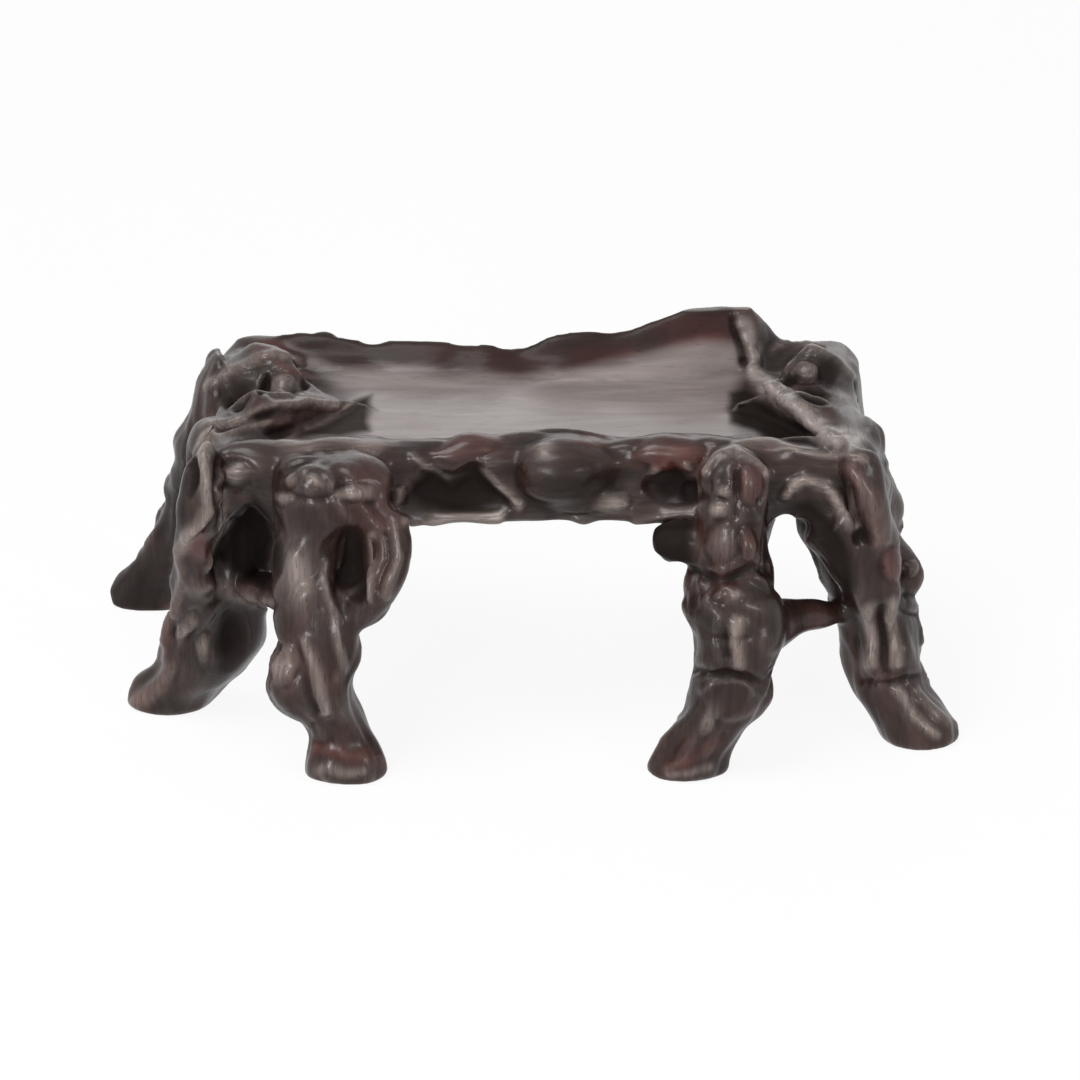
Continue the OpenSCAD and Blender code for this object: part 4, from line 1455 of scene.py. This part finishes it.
    def _piece(
        self, name: str, faces: Sequence[tuple[int, ...]], marks: np.ndarray, floor: np.ndarray
    ) -> bpy.types.Object:
        """Makes one piece of the skin.

        Args:
            name: The piece's name.
            faces: Its faces, by the skin's vertices.
            marks: Wear-and-highlight, painted-shade and heart-wood shares of all vertices.
            floor: Share of painted sheen on the tray's floor and of painted highlight on the rope, for all
                vertices.

        Returns:
            The piece.
        """
        used = np.unique(np.array([v for face in faces for v in face]))
        index = {int(v): i for i, v in enumerate(used)}
        mesh = bpy.data.meshes.new(name)
        mesh.from_pydata(self.points[used].tolist(), [], [tuple(index[v] for v in face) for face in faces])
        mesh.polygons.foreach_set("use_smooth", [True] * len(mesh.polygons))
        colours = mesh.color_attributes.new(self.MARKS, "FLOAT_COLOR", "POINT")
        rows = np.concatenate([marks[used], np.ones((len(used), 1))], axis=1)
        colours.data.foreach_set("color", rows.ravel())
        mesh.attributes.new(self.FLOOR_SHEEN, "FLOAT", "POINT").data.foreach_set("value", floor[used])
        mesh.update()
        mesh.normals_split_custom_set_from_vertices([tuple(n) for n in self.normals[used]])
        piece = bpy.data.objects.new(name, mesh)
        bpy.context.scene.collection.objects.link(piece)
        return piece

    def dress(self, pieces: Mapping[str, bpy.types.Object]) -> None:
        """Gives each piece its finish and its body, and hides its CAD node.

        Args:
            pieces: The parted pieces.
        """
        finishes = {grain: WoodFinish(f"root_wood_{grain.name.lower()}", grain).make() for grain in Grain}
        for name, piece in pieces.items():
            grain = Grain.UPRIGHT if name in self.legs else Grain.ALONG
            if name in ("left_rail", "right_rail"):
                grain = Grain.ACROSS
            piece.data.materials.append(finishes[grain])
            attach(piece, BODY)
            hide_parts(name)
            LOG.info("%s: %d faces", piece.name, len(piece.data.polygons))


@dataclass
class KeptSolids:
    """The dowels, which keep their CAD solids."""

    grains: tuple[tuple[str, Grain], ...] = (("leg_dowels", Grain.UPRIGHT), ("corner_dowels", Grain.ALONG))

    def finish(self, grain: Grain) -> WoodFinish:
        """Plain unpolished wood with a given grain."""
        return WoodFinish(
            f"dowel_wood_{grain.name.lower()}", grain, deep=(0.012, 0.006, 0.005),
            body=(0.034, 0.018, 0.013), heart=(0.050, 0.016, 0.011), roughness=0.6, coat=0.0, carved=False,
        )

    def dress(self) -> None:
        """Gives each kept node its finish."""
        for name, grain in self.grains:
            material = self.finish(grain).make()
            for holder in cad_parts[name].material_slots:
                holder.material = material
            LOG.info("%s: kept, finished as %s", name, material.name)


@dataclass(frozen=True)
class Lamp:
    """A soft square lamp, with its side in metres and its power in watts."""

    name: str
    place: tuple[float, float, float]
    side: float
    power: float


@dataclass
class Studio:
    """White sweep and soft lamps."""

    view: PhotoView
    reach: float = 3.0
    ambient: float = 0.30
    floor_colour: Colour = (0.94, 0.94, 0.94)
    floor_glow: float = 0.91
    floor_gap: float = 0.02 * MM
    lamps: tuple[Lamp, ...] = (
        Lamp("key_lamp", (-0.45, -1.05, 0.34), 0.34, 6.5),
        Lamp("fill_lamp", (0.70, -0.95, 0.26), 0.30, 2.8),
        Lamp("back_lamp", (0.1, 1.1, 0.62), 0.8, 2.4),
        Lamp("top_lamp", (-0.38, -0.36, 1.05), 0.6, 8.5),
    )

    def _background_ray(self, g: Graph) -> Val:
        """Share of rays that see the white background.

        Args:
            g: Graph to add to.

        Returns:
            1 for camera, glossy and transmission rays.
        """
        path = g.node("ShaderNodeLightPath").outputs
        seen = Val(g, path["Is Camera Ray"]).at_least(Val(g, path["Is Glossy Ray"]))
        return seen.at_least(Val(g, path["Is Transmission Ray"]))

    def add_world(self) -> None:
        """Adds the white surroundings."""
        world = bpy.data.worlds.new("surroundings")
        world.use_nodes = True
        bpy.context.scene.world = world
        g = Graph(world.node_tree)
        strength = self.ambient + (1.0 - self.ambient) * self._background_ray(g)
        sky = g.node("ShaderNodeBackground", None, {"Color": (1.0, 1.0, 1.0), "Strength": strength})
        g.node("ShaderNodeOutputWorld", None, {"Surface": sky.outputs[0]})

    def add_floor(self) -> None:
        """Adds the floor, which stays white and keeps the stand's soft shadow."""
        mesh = bpy.data.meshes.new("floor")
        r = self.reach
        mesh.from_pydata([(-r, -r, 0), (r, -r, 0), (r, r, 0), (-r, r, 0)], [], [(0, 1, 2, 3)])
        floor = bpy.data.objects.new("floor", mesh)
        floor.location.z = CAD_BOX[0][2] - self.floor_gap
        bpy.context.scene.collection.objects.link(floor)
        material = bpy.data.materials.new("white_floor")
        material.use_nodes = True
        g = Graph(material.node_tree)
        matt = g.node("ShaderNodeBsdfDiffuse", None, {"Color": self.floor_colour})
        glow = g.node("ShaderNodeEmission", None, {"Color": (1.0, 1.0, 1.0), "Strength": 1.0})
        mixed = g.node("ShaderNodeMixShader", None, {
            0: self.floor_glow * self._background_ray(g), 1: matt.outputs[0], 2: glow.outputs[0],
        })
        g.node("ShaderNodeOutputMaterial", None, {"Surface": mixed.outputs[0]})
        mesh.materials.append(material)

    def add_lamp(self, lamp: Lamp) -> None:
        """Hangs a lamp and aims it at the stand.

        Args:
            lamp: The lamp.
        """
        data = bpy.data.lights.new(lamp.name, "AREA")
        data.size = lamp.side
        data.energy = lamp.power
        hung = bpy.data.objects.new(lamp.name, data)
        hung.location = lamp.place
        hung.rotation_euler = (Vector(lamp.place) - self.view.aim()).to_track_quat("Z", "Y").to_euler()
        bpy.context.scene.collection.objects.link(hung)

    def build(self) -> None:
        """Sets up the surroundings, the floor, the lamps and the camera."""
        bpy.context.scene.view_settings.view_transform = "Standard"
        self.add_world()
        self.add_floor()
        for lamp in self.lamps:
            self.add_lamp(lamp)
            LOG.info("%s: %.1f W", lamp.name, lamp.power)
        self.view.add_camera()


def main() -> None:
    """Builds the stand's pieces, the finishes and the studio."""
    logging.basicConfig(level=logging.INFO, format="%(name)s: %(message)s")
    view = PhotoView()
    root = RootSkin(view)
    root.build()
    root.dress(root.part())
    KeptSolids().dress()
    Studio(view).build()


if __name__ == "__main__":
    main()
